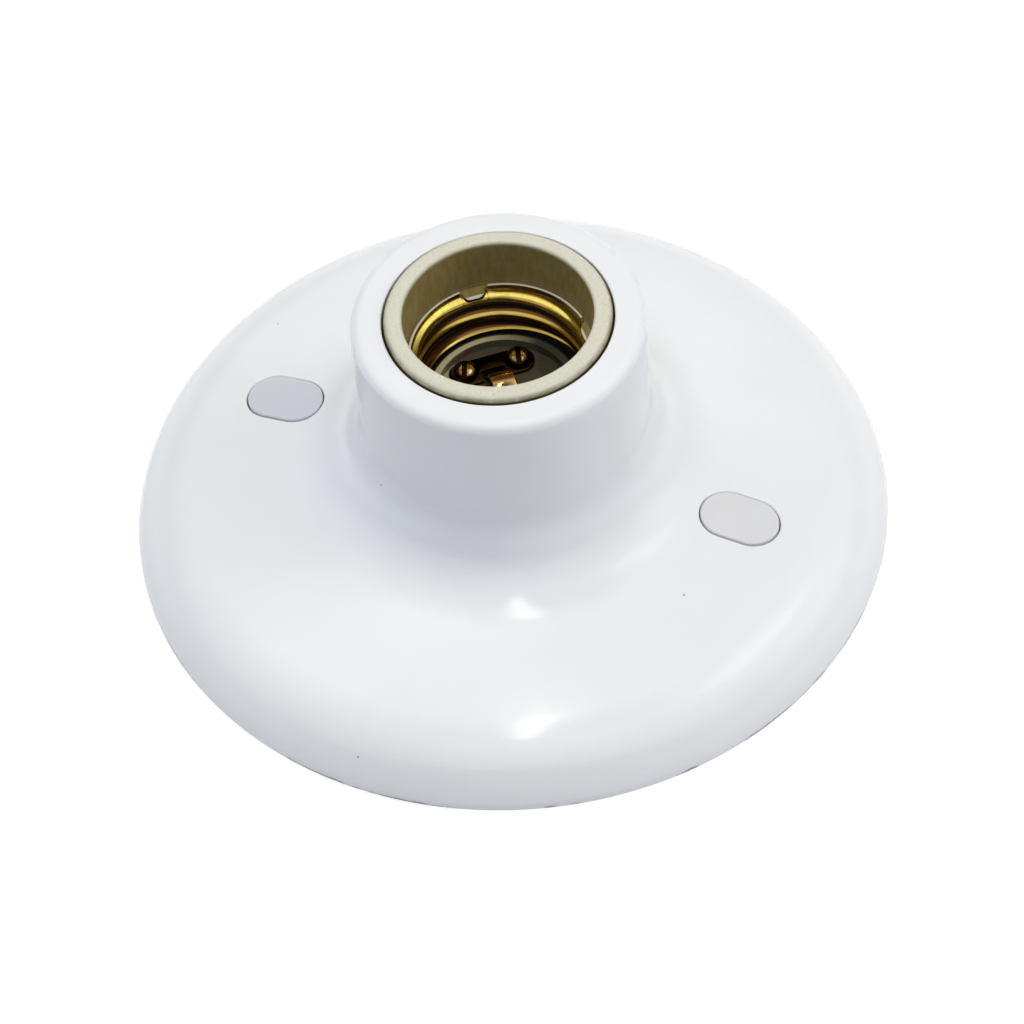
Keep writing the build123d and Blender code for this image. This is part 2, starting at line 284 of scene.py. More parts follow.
@dataclass(frozen=True)
class Port:
    """Oval opening in a block of a polar grid; its own x axis points away from the socket's axis."""

    distance: float
    bearing: float
    radii: np.ndarray
    spread: int

    def columns(self) -> np.ndarray:
        """Indices of the grid's columns across the block, one more than its quads."""
        middle = round(self.bearing * COLUMNS / 360)
        return np.arange(middle - self.spread, middle + self.spread + 1) % COLUMNS

    def edge(self) -> np.ndarray:
        """Grid points round the block, anticlockwise, in the port's own x and y.

        Returns:
            Array of points of (x, y).
        """
        angle, radii = TURN[self.columns()], self.radii
        wide, deep = np.ones(len(angle) - 1), np.ones(len(radii) - 1)
        radius = np.concatenate([radii[:-1], wide * radii[-1], radii[:0:-1], wide * radii[0]])
        turn = np.concatenate([deep * angle[0], angle[:-1], deep * angle[-1], angle[:0:-1]])
        turn = turn - radians(self.bearing)
        return np.stack([radius * np.cos(turn) - self.distance, radius * np.sin(turn)], axis=-1)

    def oval(self, length: np.ndarray, width: np.ndarray) -> np.ndarray:
        """Points of ovals with straight sides and round ends, on the rays from the port's centre to its edge.

        A ray meets a straight side where its y is half the width; past the side's end it meets the round
        end at a |cos| + sqrt(b^2 - a^2 sin^2), with a half the side's length and b half the width.

        Args:
            length: overall length of each oval.
            width: overall width of each oval.

        Returns:
            Array of ovals by points of (x, y).
        """
        edge = self.edge()
        bearing = np.arctan2(edge[:, 1], edge[:, 0])
        c, s = np.cos(bearing), np.sin(bearing)
        half = np.atleast_1d(width)[:, None] / 2
        side = np.atleast_1d(length)[:, None] / 2 - half
        level = np.maximum(np.abs(s), 1e-9)
        reach = side * np.abs(c) + chord(half, side * s)
        reach = np.where(half * np.abs(c) / level <= side, half / level, reach)
        return np.stack([reach * c, reach * s], axis=-1)

    def place(self, flat: np.ndarray, height: np.ndarray) -> np.ndarray:
        """Turn rows of the port's own (x, y), with heights, into points of the lamp holder."""
        return turned(flat[..., 0] + self.distance, flat[..., 1], height, self.bearing)

    def walls(self, rings: list[tuple[float, float, float]]) -> np.ndarray:
        """Rows of points on ovals that are given as (length, width, height)."""
        length, width, height = np.array(rings).T
        return self.place(self.oval(length, width), height[:, None])


@dataclass
class CoverForm:
    """Section of the moulded cover: a land, an edge arc, a crown arc, a hollow root arc and the neck."""

    base_radius: float = 57.5
    rim_land: float = 1.0
    edge_radius: float = 11.3
    edge_lean: float = 77.0
    crown_slope_out: float = 9.0
    crown_slope_in: float = 4.0
    root_radius: float = 12.1
    neck_radius: float = 21.7
    neck_height: float = 42.7
    neck_edge_radius: float = 1.6
    hole_radius: float = 17.05
    hole_edge_radius: float = 0.3
    wall: float = 2.2
    shoulder_height: float = 40.1
    crown_outer: float = field(init=False)
    crown_radius: float = field(init=False)
    edge_centre: Point = field(init=False)
    crown_centre: Point = field(init=False)
    root_centre: Point = field(init=False)

    def __post_init__(self) -> None:
        """Work out where the edge meets the crown, the crown's radius and the centres of the arcs."""
        lean, out, inward = np.radians([self.edge_lean, self.crown_slope_out, self.crown_slope_in])
        outer = self.crown_outer = self.base_radius - self.edge_radius * (sin(lean) - sin(out))
        foot = self.rim_land + self.edge_radius * (cos(out) - cos(lean))
        inner = self.neck_radius + self.root_radius * (1 - sin(inward))
        crown = self.crown_radius = (outer - inner) / (sin(out) - sin(inward))
        self.edge_centre = (outer - self.edge_radius * sin(out), foot - self.edge_radius * cos(out))
        self.crown_centre = (outer - crown * sin(out), foot - crown * cos(out))
        rise = crown * (cos(inward) - cos(out)) + self.root_radius * cos(inward)
        self.root_centre = (self.neck_radius + self.root_radius, foot + rise)

    def crown_end(self, slope: float, inset: float) -> float:
        """Distance from the axis at which the crown, moved in by inset, has a slope in degrees."""
        return self.crown_centre[0] + (self.crown_radius - inset) * sin(radians(slope))

    def root_turn(self, radius: float, inset: float) -> float:
        """Angle in degrees on the root's arc, moved in by inset, at a distance from the axis."""
        return 180 + np.degrees(np.arccos((self.root_centre[0] - radius) / (self.root_radius + inset)))

    def height(self, radius: np.ndarray, inset: float) -> np.ndarray:
        """Height of the form over a distance from the axis, by the circle of the arc that is there.

        Args:
            radius: distances from the axis.
            inset: how far the form is moved in, 0 for the outside and the wall for the inside.

        Returns:
            Heights in the same shape.
        """
        on_edge = self.edge_centre[1] + chord(self.edge_radius - inset, radius - self.edge_centre[0])
        on_crown = self.crown_centre[1] + chord(self.crown_radius - inset, radius - self.crown_centre[0])
        on_root = self.root_centre[1] - chord(self.root_radius + inset, radius - self.root_centre[0])
        inner, outer = (self.crown_end(slope, inset) for slope in (self.crown_slope_in, self.crown_slope_out))
        return np.where(radius > outer, on_edge, np.where(radius < inner, on_root, on_crown))

    def rows(self, radius: np.ndarray, inset: float = 0.0) -> np.ndarray:
        """Rows of (radius, height) of the form, moved in by inset, at distances from the axis."""
        return np.stack([radius, self.height(radius, inset)], axis=-1)


@dataclass
class CoverMoulding:
    """White moulded cover: dome, neck, two fixing wells and, inside, two screw bosses."""

    form: CoverForm = field(default_factory=CoverForm)
    sheet_inner: float = 27.0
    sheet_outer: float = 47.0
    sheet_step: float = 0.5
    lining_inner: float = 20.0
    well_distance: float = 37.0
    well_spread: int = 16
    mouth_length: float = 12.4
    mouth_width: float = 8.8
    mouth_lip: float = 0.25
    ledge_height: float = 6.58
    ledge_width: float = 0.9
    well_floor: float = 2.4
    well_wall: float = 1.6
    slot_length: float = 8.6
    slot_width: float = 4.6
    boss_distance: float = 25.0
    boss_bearing: float = 39.0
    boss_spread: int = 15
    boss_outer: float = 31.0
    boss_diameter: float = 7.6
    boss_foot: float = 6.6
    pilot_diameter: float = 2.9
    pilot_top: float = 12.6
    tuck: float = 0.15

    def radii(self, inner: float) -> np.ndarray:
        """Distances from the axis of a sheet's rows, outwards from its inner edge."""
        return np.arange(inner, self.sheet_outer + self.sheet_step / 2, self.sheet_step)

    def sheet(self, skin: Skin, radii: np.ndarray, inset: float, ports: list[Port]) -> None:
        """Add a sheet of the form over a ring, (r cos t, r sin t, height of r), less the blocks of its ports.

        Args:
            skin: where the sheet goes.
            radii: distances of its rows from the axis, outwards.
            inset: how far the form is moved in; the sheet faces down if it is, and else up.
            ports: openings in the sheet.
        """
        points = revolved(self.form.rows(radii, inset))
        keep = np.ones((len(radii) - 1, COLUMNS), bool)
        for port in ports:
            rows = np.searchsorted(radii, port.radii[:-1] + HAIR) - 1
            keep[np.ix_(rows, port.columns()[:-1])] = False
        way = 1 if inset else -1
        skin.grid(points[::way], keep[::way])

    def apron(self, port: Port, oval: np.ndarray, inset: float, count: int = 12) -> np.ndarray:
        """Rows on the form from a port's oval out to the edge of its block, by straight rays seen from above.

        Args:
            port: the opening.
            oval: points of (x, y) of the oval where the rows start.
            inset: how far the form is moved in.
            count: number of rows.

        Returns:
            Rows by points of (x, y, z), from the oval outwards.
        """
        flat = oval + (port.edge() - oval) * np.linspace(0, 1, count)[:, None, None]
        radius = np.hypot(flat[..., 0] + port.distance, flat[..., 1])
        return port.place(flat, self.form.height(radius, inset))

    def well(self, skin: Skin, port: Port) -> None:
        """Add one fixing well: down through the dome's mouth to the slot and back up its wall to the lining.

        Args:
            skin: where the well goes.
            port: the opening in the dome and in the lining.
        """
        length, width, ledge, floor = self.mouth_length, self.mouth_width, self.ledge_height, self.well_floor
        roll = np.radians(np.linspace(0, 90, 6))
        spare = 2 * self.mouth_lip * (1 - np.sin(roll))
        mouth = port.oval(length + spare, width + spare)
        apron = self.apron(port, mouth[0], 0.0)
        lip = port.place(mouth, apron[0, :, 2] - self.mouth_lip * (1 - np.cos(roll))[:, None])
        step, tuck = length - 2 * self.ledge_width, self.tuck
        slot = (self.slot_length, self.slot_width)
        by_slot = (self.slot_length + 2 * tuck, self.slot_width + 2 * tuck)
        outside = (length + 2 * self.well_wall, width + 2 * self.well_wall)
        walls = port.walls([
            (length, width, ledge + tuck), (length, width, ledge), (step, width, ledge),
            (step, width, floor + tuck), (step, width, floor), (*by_slot, floor), (*slot, floor),
            (*slot, 0.0), (*by_slot, 0.0), (*outside, 0.0), (*outside, tuck),
        ])
        lining = self.apron(port, port.oval(*outside)[0], self.form.wall)
        skin.grid(np.concatenate([apron[::-1], lip, walls, lining]))

    def boss(self, skin: Skin, port: Port) -> None:
        """Add one screw boss: out of its pilot hole, across its foot and up to the lining.

        Args:
            skin: where the boss goes.
            port: the opening in the lining.
        """
        pilot, wide, top, foot = self.pilot_diameter, self.boss_diameter, self.pilot_top, self.boss_foot
        walls = port.walls([(0, 0, top), (pilot, pilot, top), (pilot, pilot, foot), (wide, wide, foot)])
        skin.grid(np.concatenate([walls, self.apron(port, port.oval(wide, wide)[0], self.form.wall)]))

    def build(self) -> bpy.types.Object:
        """Build the cover as one closed mesh: revolved profiles, two sheets with ports, wells and bosses.

        Returns:
            The cover's object.
        """
        form, skin = self.form, Skin()
        dome, lining = self.radii(self.sheet_inner), self.radii(self.lining_inner)
        wells = [Port(self.well_distance, side.value, dome, self.well_spread) for side in Side]
        near = lining[lining <= self.boss_outer + HAIR]
        bearings = (self.boss_bearing, self.boss_bearing + 180)
        bosses = [Port(self.boss_distance, bearing, near, self.boss_spread) for bearing in bearings]
        base, land, wall, shoulder = form.base_radius, form.rim_land, form.wall, form.shoulder_height
        low, high = 90 - form.edge_lean, 90 - form.crown_slope_out
        skin.grid(revolved(joined(
            run((base, 0), (base, land)),
            arc(form.edge_centre, form.edge_radius, low, high, 40),
            form.rows(np.linspace(form.crown_outer, self.sheet_outer, 4)),
        )))
        self.sheet(skin, dome, 0.0, wells)
        top, edge, neck = form.neck_height, form.neck_edge_radius, form.neck_radius
        hole, small, bore, root = form.hole_radius, form.hole_edge_radius, neck - wall, form.root_centre
        skin.grid(revolved(joined(
            arc(root, form.root_radius, form.root_turn(self.sheet_inner, 0.0), 180, 30),
            run((neck, root[1]), (neck, top - edge), count=6, tuck=0.3),
            arc((neck - edge, top - edge), edge, 0, 90, 14),
            run((neck - edge, top), (hole + small, top), count=4, tuck=0.15),
            arc((hole + small, top - small), small, 90, 180, 6),
            run((hole, top - small), (hole, shoulder), (bore, shoulder), tuck=0.1),
            run((bore, shoulder), (bore, root[1]), count=4, tuck=0.2),
            arc(root, form.root_radius + wall, 180, form.root_turn(self.lining_inner, wall), 10),
        )))
        self.sheet(skin, lining, wall, wells + bosses)
        for port in wells:
            self.well(skin, port)
        for port in bosses:
            self.boss(skin, port)
        foot = base - wall * sin(radians(form.edge_lean))
        inner_land = land - wall * cos(radians(form.edge_lean))
        crown_end = form.crown_end(form.crown_slope_out, wall)
        skin.grid(revolved(joined(
            form.rows(np.linspace(self.sheet_outer, crown_end, 4), wall),
            arc(form.edge_centre, form.edge_radius - wall, high, low, 16),
            run((foot, inner_land), (foot, 0)),
            run((foot, 0), (base, 0), tuck=self.tuck),
        )))
        return skin.piece("cover_moulding")


@dataclass
class ScrewCap:
    """Press-in cap over a fixing well: a slanted oval face with rolled edges over a hollow skirt."""

    side: Side
    distance: float = 37.0
    length: float = 12.0
    width: float = 8.4
    wall: float = 1.2
    skirt: float = 2.6
    foot: float = 6.58
    foot_bevel: float = 0.1
    face: float = 11.23
    face_slope: float = 5.3
    edge_radius: float = 0.35
    face_rings: tuple[float, ...] = (0.97, 0.8, 0.6, 0.4, 0.2, 0.0)
    ray_radii: tuple[float, float, int] = (20.0, 54.0, 35)
    ray_spread: int = 26

    def build(self) -> bpy.types.Object:
        """Build the cap as rings of ovals: up inside, across the foot, up the wall and over the slanted face.

        Returns:
            The cap's object.
        """
        port = Port(self.distance, self.side.value, np.linspace(*self.ray_radii), self.ray_spread)
        length, width, foot, bevel = self.length, self.width, self.foot, self.foot_bevel
        hollow = (length - 2 * self.wall, width - 2 * self.wall)
        walls = port.walls([
            (0, 0, foot + self.skirt), (*hollow, foot + self.skirt), (*hollow, foot),
            (length - 2 * bevel, width - 2 * bevel, foot), (length, width, foot + bevel),
        ])
        roll = np.radians(np.linspace(0, 90, 7))
        trim = 2 * self.edge_radius * (1 - np.cos(roll))
        rolled = port.oval(length - trim, width - trim)
        flat = rolled[-1] * np.array(self.face_rings)[:, None, None]
        slant, drop = tan(radians(self.face_slope)), self.edge_radius * (1 - np.sin(roll))[:, None]
        edge = port.place(rolled, self.face - slant * rolled[..., 0] - drop)
        skin = Skin()
        skin.grid(np.concatenate([walls, edge, port.place(flat, self.face - slant * flat[..., 0])]))
        return skin.piece(f"{self.side.name.lower()}_cap_moulding")


@dataclass(frozen=True)
class Notches:
    """Notches in the shell's rim, which hold the sleeve's lugs."""

    count: int = 4
    turn: float = 39.0
    width: float = 4.2
    depth: float = 1.9
    power: float = 3.5

    def off(self, turn: np.ndarray, radius: float) -> np.ndarray:
        """Distance, along a circle of a radius, of each angle from the middle of its nearest notch."""
        spacing = 2 * pi / self.count
        return np.abs((turn - radians(self.turn) + spacing / 2) % spacing - spacing / 2) * radius

    def cut(self, off: np.ndarray) -> np.ndarray:
        """Depth cut away: the depth times sqrt(1 - (off / half width)^power), which has a round bottom."""
        return self.depth * np.sqrt(1 - np.clip(off * 2 / self.width, 0, 1) ** self.power)


@dataclass
class PorcelainSleeve:
    """Unglazed porcelain collar and mouth, with four lugs that sit in the shell's notches."""

    bottom: float = 22.0
    seat_radius: float = 13.75
    body_radius: float = 18.9
    shoulder: float = 40.1
    collar_radius: float = 16.75
    collar_top: float = 43.5
    collar_round: float = 1.1
    mouth_radius: float = 14.0
    mouth_round: float = 0.5
    seat_top: float = 35.3
    seat_fine: float = 32.7
    lug_width: float = 3.8
    lug_low: float = 33.3
    lug_high: float = 34.8
    lug_reach: float = 1.0
    lug_round: float = 0.12
    lug_slant: float = 1.5
    notches: Notches = Notches()

    def build(self) -> bpy.types.Object:
        """Build the sleeve as a revolved profile whose seat wall is pushed in where the lugs stand.

        The push is the lug's reach times a soft step across its width, and over its height a soft step
        at its foot, which follows the round bottom of the shell's notch, and a slant above it.

        Returns:
            The sleeve's object.
        """
        collar, top, mouth, seat = self.collar_radius, self.collar_top, self.mouth_radius, self.seat_radius
        body, shoulder, big, small = self.body_radius, self.shoulder, self.collar_round, self.mouth_round
        profile = joined(
            run((seat, self.bottom), (body, self.bottom), (body, shoulder), (collar, shoulder),
                (collar, top - big), tuck=0.2),
            arc((collar - big, top - big), big, 0, 90, 12),
            run((collar - big, top), (mouth + small, top), count=4),
            arc((mouth + small, top - small), small, 90, 180, 8),
            run((mouth, top - small), (mouth, self.seat_top), count=8, tuck=0.1),
            run((mouth, self.seat_top), (seat, self.seat_top)),
            run((seat, self.seat_top), (seat, self.seat_fine), count=40),
            run((seat, self.seat_fine), (seat, self.bottom), count=4),
        )
        radius, height = profile[:, :1], profile[:, 1:]
        half, soft = self.lug_width / 2, self.lug_round
        off = self.notches.off(TURN, seat)
        low = self.lug_low + self.notches.depth - self.notches.cut(off)
        slant = np.clip((self.lug_high + soft - height) / self.lug_slant, 0, 1)
        up = smooth_step(height - low, -soft, soft) * slant
        inner = np.isclose(radius, seat) & (height < self.seat_top)
        push = np.where(inner, self.lug_reach * up * (1 - smooth_step(off, half - soft, half + soft)), 0.0)
        grid = revolved(profile)
        grid[..., :2] *= (1 - push / radius)[..., None]
        skin = Skin()
        skin.grid(grid)
        return skin.piece("sleeve_casting")


@dataclass
class ScrewShell:
    """Rolled brass shell: a rope thread, a plain lip with four notches and a foot to its screw."""

    pitch: float = 3.629
    throw: float = 0.575
    ring_radius: float = 12.725
    sheet: float = 0.35
    bottom: float = 26.15
    rim: float = 35.1
    start_turn: float = 16.0
    lip_radius: float = 13.3
    lip_height: float = 0.5
    lip_blend: float = 0.7
    notches: Notches = Notches()
    inner_rows: int = 120
    outer_rows: int = 40
    columns: int = 480
    crowding: float = 0.28
    bead: float = 0.14
    bead_height: float = 0.25
    foot_width: float = 4.0
    foot_bearing: float = -51.0
    foot_floor: float = 24.8
    foot_bend: float = 0.7
    foot_overlap: float = 0.3
    foot_screw: float = 7.0

    def wall_radius(self, turn: np.ndarray, height: np.ndarray) -> np.ndarray:
        """Inner radius of the shell: a ring carried round the axis once per pitch, eased into the plain lip.

        With d the angle from the ring's centre, the ring is throw cos d + sqrt(R^2 - throw^2 sin^2 d). The
        lower edge is curled in by a bead.

        Args:
            turn: angles round the axis.
            height: heights.

        Returns:
            Radii in the shape that turn and height give together.
        """
        away = turn - radians(self.start_turn) - 2 * pi * (height - self.bottom) / self.pitch
        ring = self.throw * np.cos(away) + chord(self.ring_radius, self.throw * np.sin(away))
        lip = self.rim - self.lip_height
        ease = smooth_step(height, lip - self.lip_blend, lip)
        curl = self.bead * (1 - smooth_step(height, self.bottom, self.bottom + self.bead_height))
        return ring + (self.lip_radius - ring) * ease - curl

    def columns_turn(self) -> np.ndarray:
        """Angles of the grid's columns: even, less sine waves that crowd them towards the notches' sides.

        Returns:
            The angles.
        """
        even = np.linspace(0, 2 * pi, self.columns, endpoint=False)
        half, waves = self.notches.width / 2 / self.lip_radius, self.notches.count
        sides = sum(np.sin(waves * (even - radians(self.notches.turn) + way * half)) for way in (-1, 1))
        return even - self.crowding * sides / waves

    def build(self) -> bpy.types.Object:
        """Build the threaded wall, down its inside and up its outside, and the bent foot.

        Returns:
            The shell's object.
        """
        turn = self.columns_turn()
        span = self.rim - self.notches.cut(self.notches.off(turn, self.lip_radius)) - self.bottom
        inner = self.bottom + span * np.linspace(1, 0, self.inner_rows)[:, None]
        outer = self.bottom + span * np.linspace(0, 1, self.outer_rows)[:, None]
        height = np.concatenate([inner, outer, inner[:1]])
        radius = self.wall_radius(turn, height)
        radius[len(inner):-1] += self.sheet
        skin = Skin()
        skin.grid(np.stack([radius * np.cos(turn), radius * np.sin(turn), height], axis=-1))
        self.foot(skin)
        return skin.piece("threaded_shell")

    def foot(self, skin: Skin) -> None:
        """Add the foot: a strip that runs down from the wall, bends and lies on the floor under its screw.

        Args:
            skin: where the foot goes.
        """
        wall = self.wall_radius(np.array(radians(self.foot_bearing)), np.array(self.bottom)) + self.sheet / 2
        low, bend = self.foot_floor + self.sheet / 2, self.foot_bend
        half, screw = self.foot_width / 2, self.foot_screw
        path = joined(
            run((wall, self.bottom + self.foot_overlap), (wall, low + bend), count=3),
            arc((wall - bend, low + bend), bend, 0, -90, 8),
            run((wall - bend, low), (screw, low), count=6),
            run((screw, low), (screw - half, low), count=10),
        )
        reach = half * np.sqrt(1 - np.clip((screw - path[:, 0]) / half, 0, 0.99) ** 2)
        skin.strip(path, -reach, reach, self.sheet, self.foot_bearing)


@dataclass
class CentreContact:
    """Brass contact on the socket's floor: a plate with a sprung tongue lanced out of it over the axis."""

    bearing: float = 129.0
    floor: float = 24.8
    sheet: float = 0.6
    offset: float = 6.0
    length: float = 13.2
    depth: float = 4.8
    corner: float = 2.2
    tongue_width: float = 3.6
    tongue_gap: float = 0.15
    lance_edge: float = 0.01
    lance_share: float = 0.6
    set_back: float = 2.0
    rise: float = 45.0
    fall: float = 40.0
    run_length: float = 3.6
    root_radius: float = 1.6
    top_radius: float = 3.0

    def tongue_path(self) -> np.ndarray:
        """Centre line of the tongue: off the plate, up a bend and a climb, and over a rounded top.

        Returns:
            Rows of (distance from the axis, height), running inwards.
        """
        level, rise = self.floor + self.sheet / 2, radians(self.rise)
        start = self.offset - self.depth / 2 + self.set_back
        root = arc((start, level + self.root_radius), self.root_radius, -90, -90 - self.rise, 10)
        top = root[-1] + self.run_length * np.array([-cos(rise), sin(rise)])
        centre = top - self.top_radius * np.array([sin(rise), cos(rise)])
        return joined(
            run((start + self.depth / 4, level - self.sheet / 4), (start, level), count=3),
            root,
            run(root[-1], top, count=4),
            arc(centre, self.top_radius, 90 - self.rise, 90 + self.fall, 22),
        )

    def plate(self, skin: Skin) -> None:
        """Add the plate: a strip along its length whose front edge steps back where the tongue is lanced.

        Args:
            skin: where the plate goes.
        """
        end, half = self.length / 2, self.depth / 2
        gap, edge, share = self.tongue_width / 2 + self.tongue_gap, self.lance_edge, self.lance_share
        bend = end - self.corner + self.corner * np.sin(np.radians(np.linspace(0, 88, 12)))
        right = np.concatenate([[gap - edge, gap + edge, share * gap + (1 - share) * end], bend])
        along = np.concatenate([-right[::-1], [0.0], right])
        spread = half - self.corner + chord(self.corner, np.maximum(np.abs(along) - end + self.corner, 0))
        front = np.where(np.abs(along) < gap, self.set_back - half, -spread)
        path = np.stack([along, np.full_like(along, self.floor + self.sheet / 2)], axis=-1)
        skin.strip(path, self.offset + front, self.offset + spread, self.sheet, self.bearing - 90)

    def build(self) -> bpy.types.Object:
        """Build the plate and the tongue.

        Returns:
            The contact's object.
        """
        skin, path = Skin(), self.tongue_path()
        self.plate(skin)
        reach = np.full(len(path), self.tongue_width / 2)
        skin.strip(path, -reach, reach, self.sheet, self.bearing)
        return skin.piece("sprung_contact")


@dataclass
class ContactScrew:
    """Screw on the contact's plate: a low domed head with a driver slot, and its shank."""

    side: Side
    slot_turn: float
    bearing: float = CentreContact.bearing
    offset: float = CentreContact.offset
    spacing: float = 8.4
    seat: float = 25.4
    head_radius: float = 2.0
    head_height: float = 1.6
    crown_radius: float = 0.667
    dome_radius: float = 1.355
    slot_width: float = 0.8
    slot_depth: float = 0.7
    slot_edge: float = 0.004
    slot_margin: float = 0.05
    shank_radius: float = 1.25
    shank_core: float = 0.001
    shank_step: int = 8
    tip: float = 12.9
    crease: float = 40.0

    def dome(self, reach: np.ndarray) -> np.ndarray:
        """Height of the head over its seat: level at the crown, then an arc that falls to the rim."""
        past = np.clip(reach - self.crown_radius, 0, self.dome_radius)
        return self.head_height - self.dome_radius + chord(self.dome_radius, past)

    def build(self) -> bpy.types.Object:
        """Build the head as slices across its slot, and the shank as a revolved profile.

        A slice at x runs over the dome from -Y to Y, with Y the half chord sqrt(R^2 - x^2); slices
        within the slot are cut down to its floor.

        Returns:
            The screw's object.
        """
        slot, edge, margin = self.slot_width / 2, self.slot_edge, self.slot_margin
        outer = self.head_radius * np.sin(np.radians(np.linspace(15, 90, 14)))
        right = np.concatenate([[slot - edge, slot + edge, slot + margin], outer[outer > slot + margin]])
        x = np.concatenate([-right[::-1], [0.0], right])[::-1, None]
        half = chord(self.head_radius, x)
        y = half * np.sin(np.radians(np.linspace(-90, 90, 31)))
        height = self.dome(np.hypot(x, y))
        height = np.where(np.abs(x) < slot, np.minimum(height, self.head_height - self.slot_depth), height)
        y = np.concatenate([-half, y, half], axis=1)
        height = np.concatenate([np.zeros_like(x), height, np.zeros_like(x)], axis=1)
        core, shank, top = self.shank_core, self.shank_radius, self.seat + margin
        profile = run((core, self.tip), (shank, self.tip), (shank, top), (core, top))
        across = self.spacing / 2 * (1 if self.side is Side.RIGHT else -1)
        place = turned(self.offset, -across, 0, self.bearing)
        skin = Skin()
        skin.grid(turned(x, y, height + self.seat, self.slot_turn) + place)
        skin.grid(revolved(profile)[:, ::self.shank_step] + place)
        return skin.piece(f"{self.side.name.lower()}_contact_screw_head", self.crease)


class Shader:
    """Short hand for laying nodes in one node tree."""

    def __init__(self, tree: bpy.types.NodeTree) -> None:
        """Keep the tree that the nodes go into."""
        self.tree = tree

    def node(self, kind: str, values: dict | None = None, **settings: object) -> bpy.types.Node:
        """Add a node, set its properties and fill or link its inputs.

        Args:
            kind: the node's type name without the ShaderNode prefix.
            values: input name or number to a value or an output socket.
            settings: properties of the node.

        Returns:
            The new node.
        """
        made = self.tree.nodes.new(f"ShaderNode{kind}")
        for name, value in settings.items():
            setattr(made, name, value)
        for key, value in (values or {}).items():
            self.feed(made.inputs[key], value)
        return made

    def feed(self, socket: Socket, value: object) -> None:
        """Link an output socket to an input, or set the input's own value.

        Args:
            socket: the input.
            value: an output socket, a number, a colour or a vector.
        """
        if isinstance(value, Socket):
            self.tree.links.new(value, socket)
        else:
            socket.default_value = (*value, 1.0) if socket.type == "RGBA" else value

    def maths(self, operation: str, *values: object) -> Socket:
        """Output of a Math node with the given inputs."""
        return self.node("Math", dict(enumerate(values)), operation=operation).outputs[0]

    def product(self, *values: object) -> Socket:
        """Output of all the values multiplied."""
        return reduce(lambda a, b: self.maths("MULTIPLY", a, b), values)

    def most(self, *values: object) -> Socket:
        """Output of the largest of the values."""
        return reduce(lambda a, b: self.maths("MAXIMUM", a, b), values)

    def vector(self, operation: str, *values: object) -> Socket:
        """Number that a Vector Math node puts out for the given inputs."""
        return self.node("VectorMath", dict(enumerate(values)), operation=operation).outputs["Value"]

    def ramp(self, value: object, low: float, high: float, start: float = 0.0, end: float = 1.0) -> Socket:
        """Output of a clamped smooth step from low to high, giving start to end."""
        values = {"Value": value, "From Min": low, "From Max": high, "To Min": start, "To Max": end}
        return self.node("MapRange", values, interpolation_type="SMOOTHSTEP").outputs["Result"]

    def mix(self, share: object, first: object, second: object) -> Socket:
        """Output of a colour mix from first to second by share."""
        return self.node("Mix", {0: share, 6: first, 7: second}, data_type="RGBA").outputs[2]

    def noise(self, place: Socket, scale: object, detail: object) -> Socket:
        """Output of a noise texture."""
        return self.node("TexNoise", {"Vector": place, "Scale": scale, "Detail": detail}).outputs[0]

    def bump(self, height: Socket, strength: float) -> Socket:
        """Normal of a surface bumped by a height in millimetres."""
        return self.node("Bump", {"Height": height, "Distance": MM, "Strength": strength}).outputs[0]

    def effect(self, group: bpy.types.NodeTree, **values: object) -> Socket:
        """Output of a shared group, placed with its own values."""
        return self.node("Group", {"Place": self.place, **values}, node_tree=group).outputs[0]

    @cached_property
    def place(self) -> Socket:
        """The surface point in object coordinates, in millimetres."""
        point = self.node("TexCoord").outputs["Object"]
        return self.node("VectorMath", {0: point, "Scale": 1 / MM}, operation="SCALE").outputs[0]

    @cached_property
    def parts(self) -> bpy.types.NodeOutputs:
        """The surface point's x, y and z."""
        return self.node("SeparateXYZ", {0: self.place}).outputs

    @cached_property
    def flat(self) -> Socket:
        """The surface point with no height."""
        return self.node("CombineXYZ", {0: self.parts[0], 1: self.parts[1]}).outputs[0]

    @cached_property
    def reach(self) -> Socket:
        """The surface point's distance from the axis."""
        return self.vector("LENGTH", self.flat)


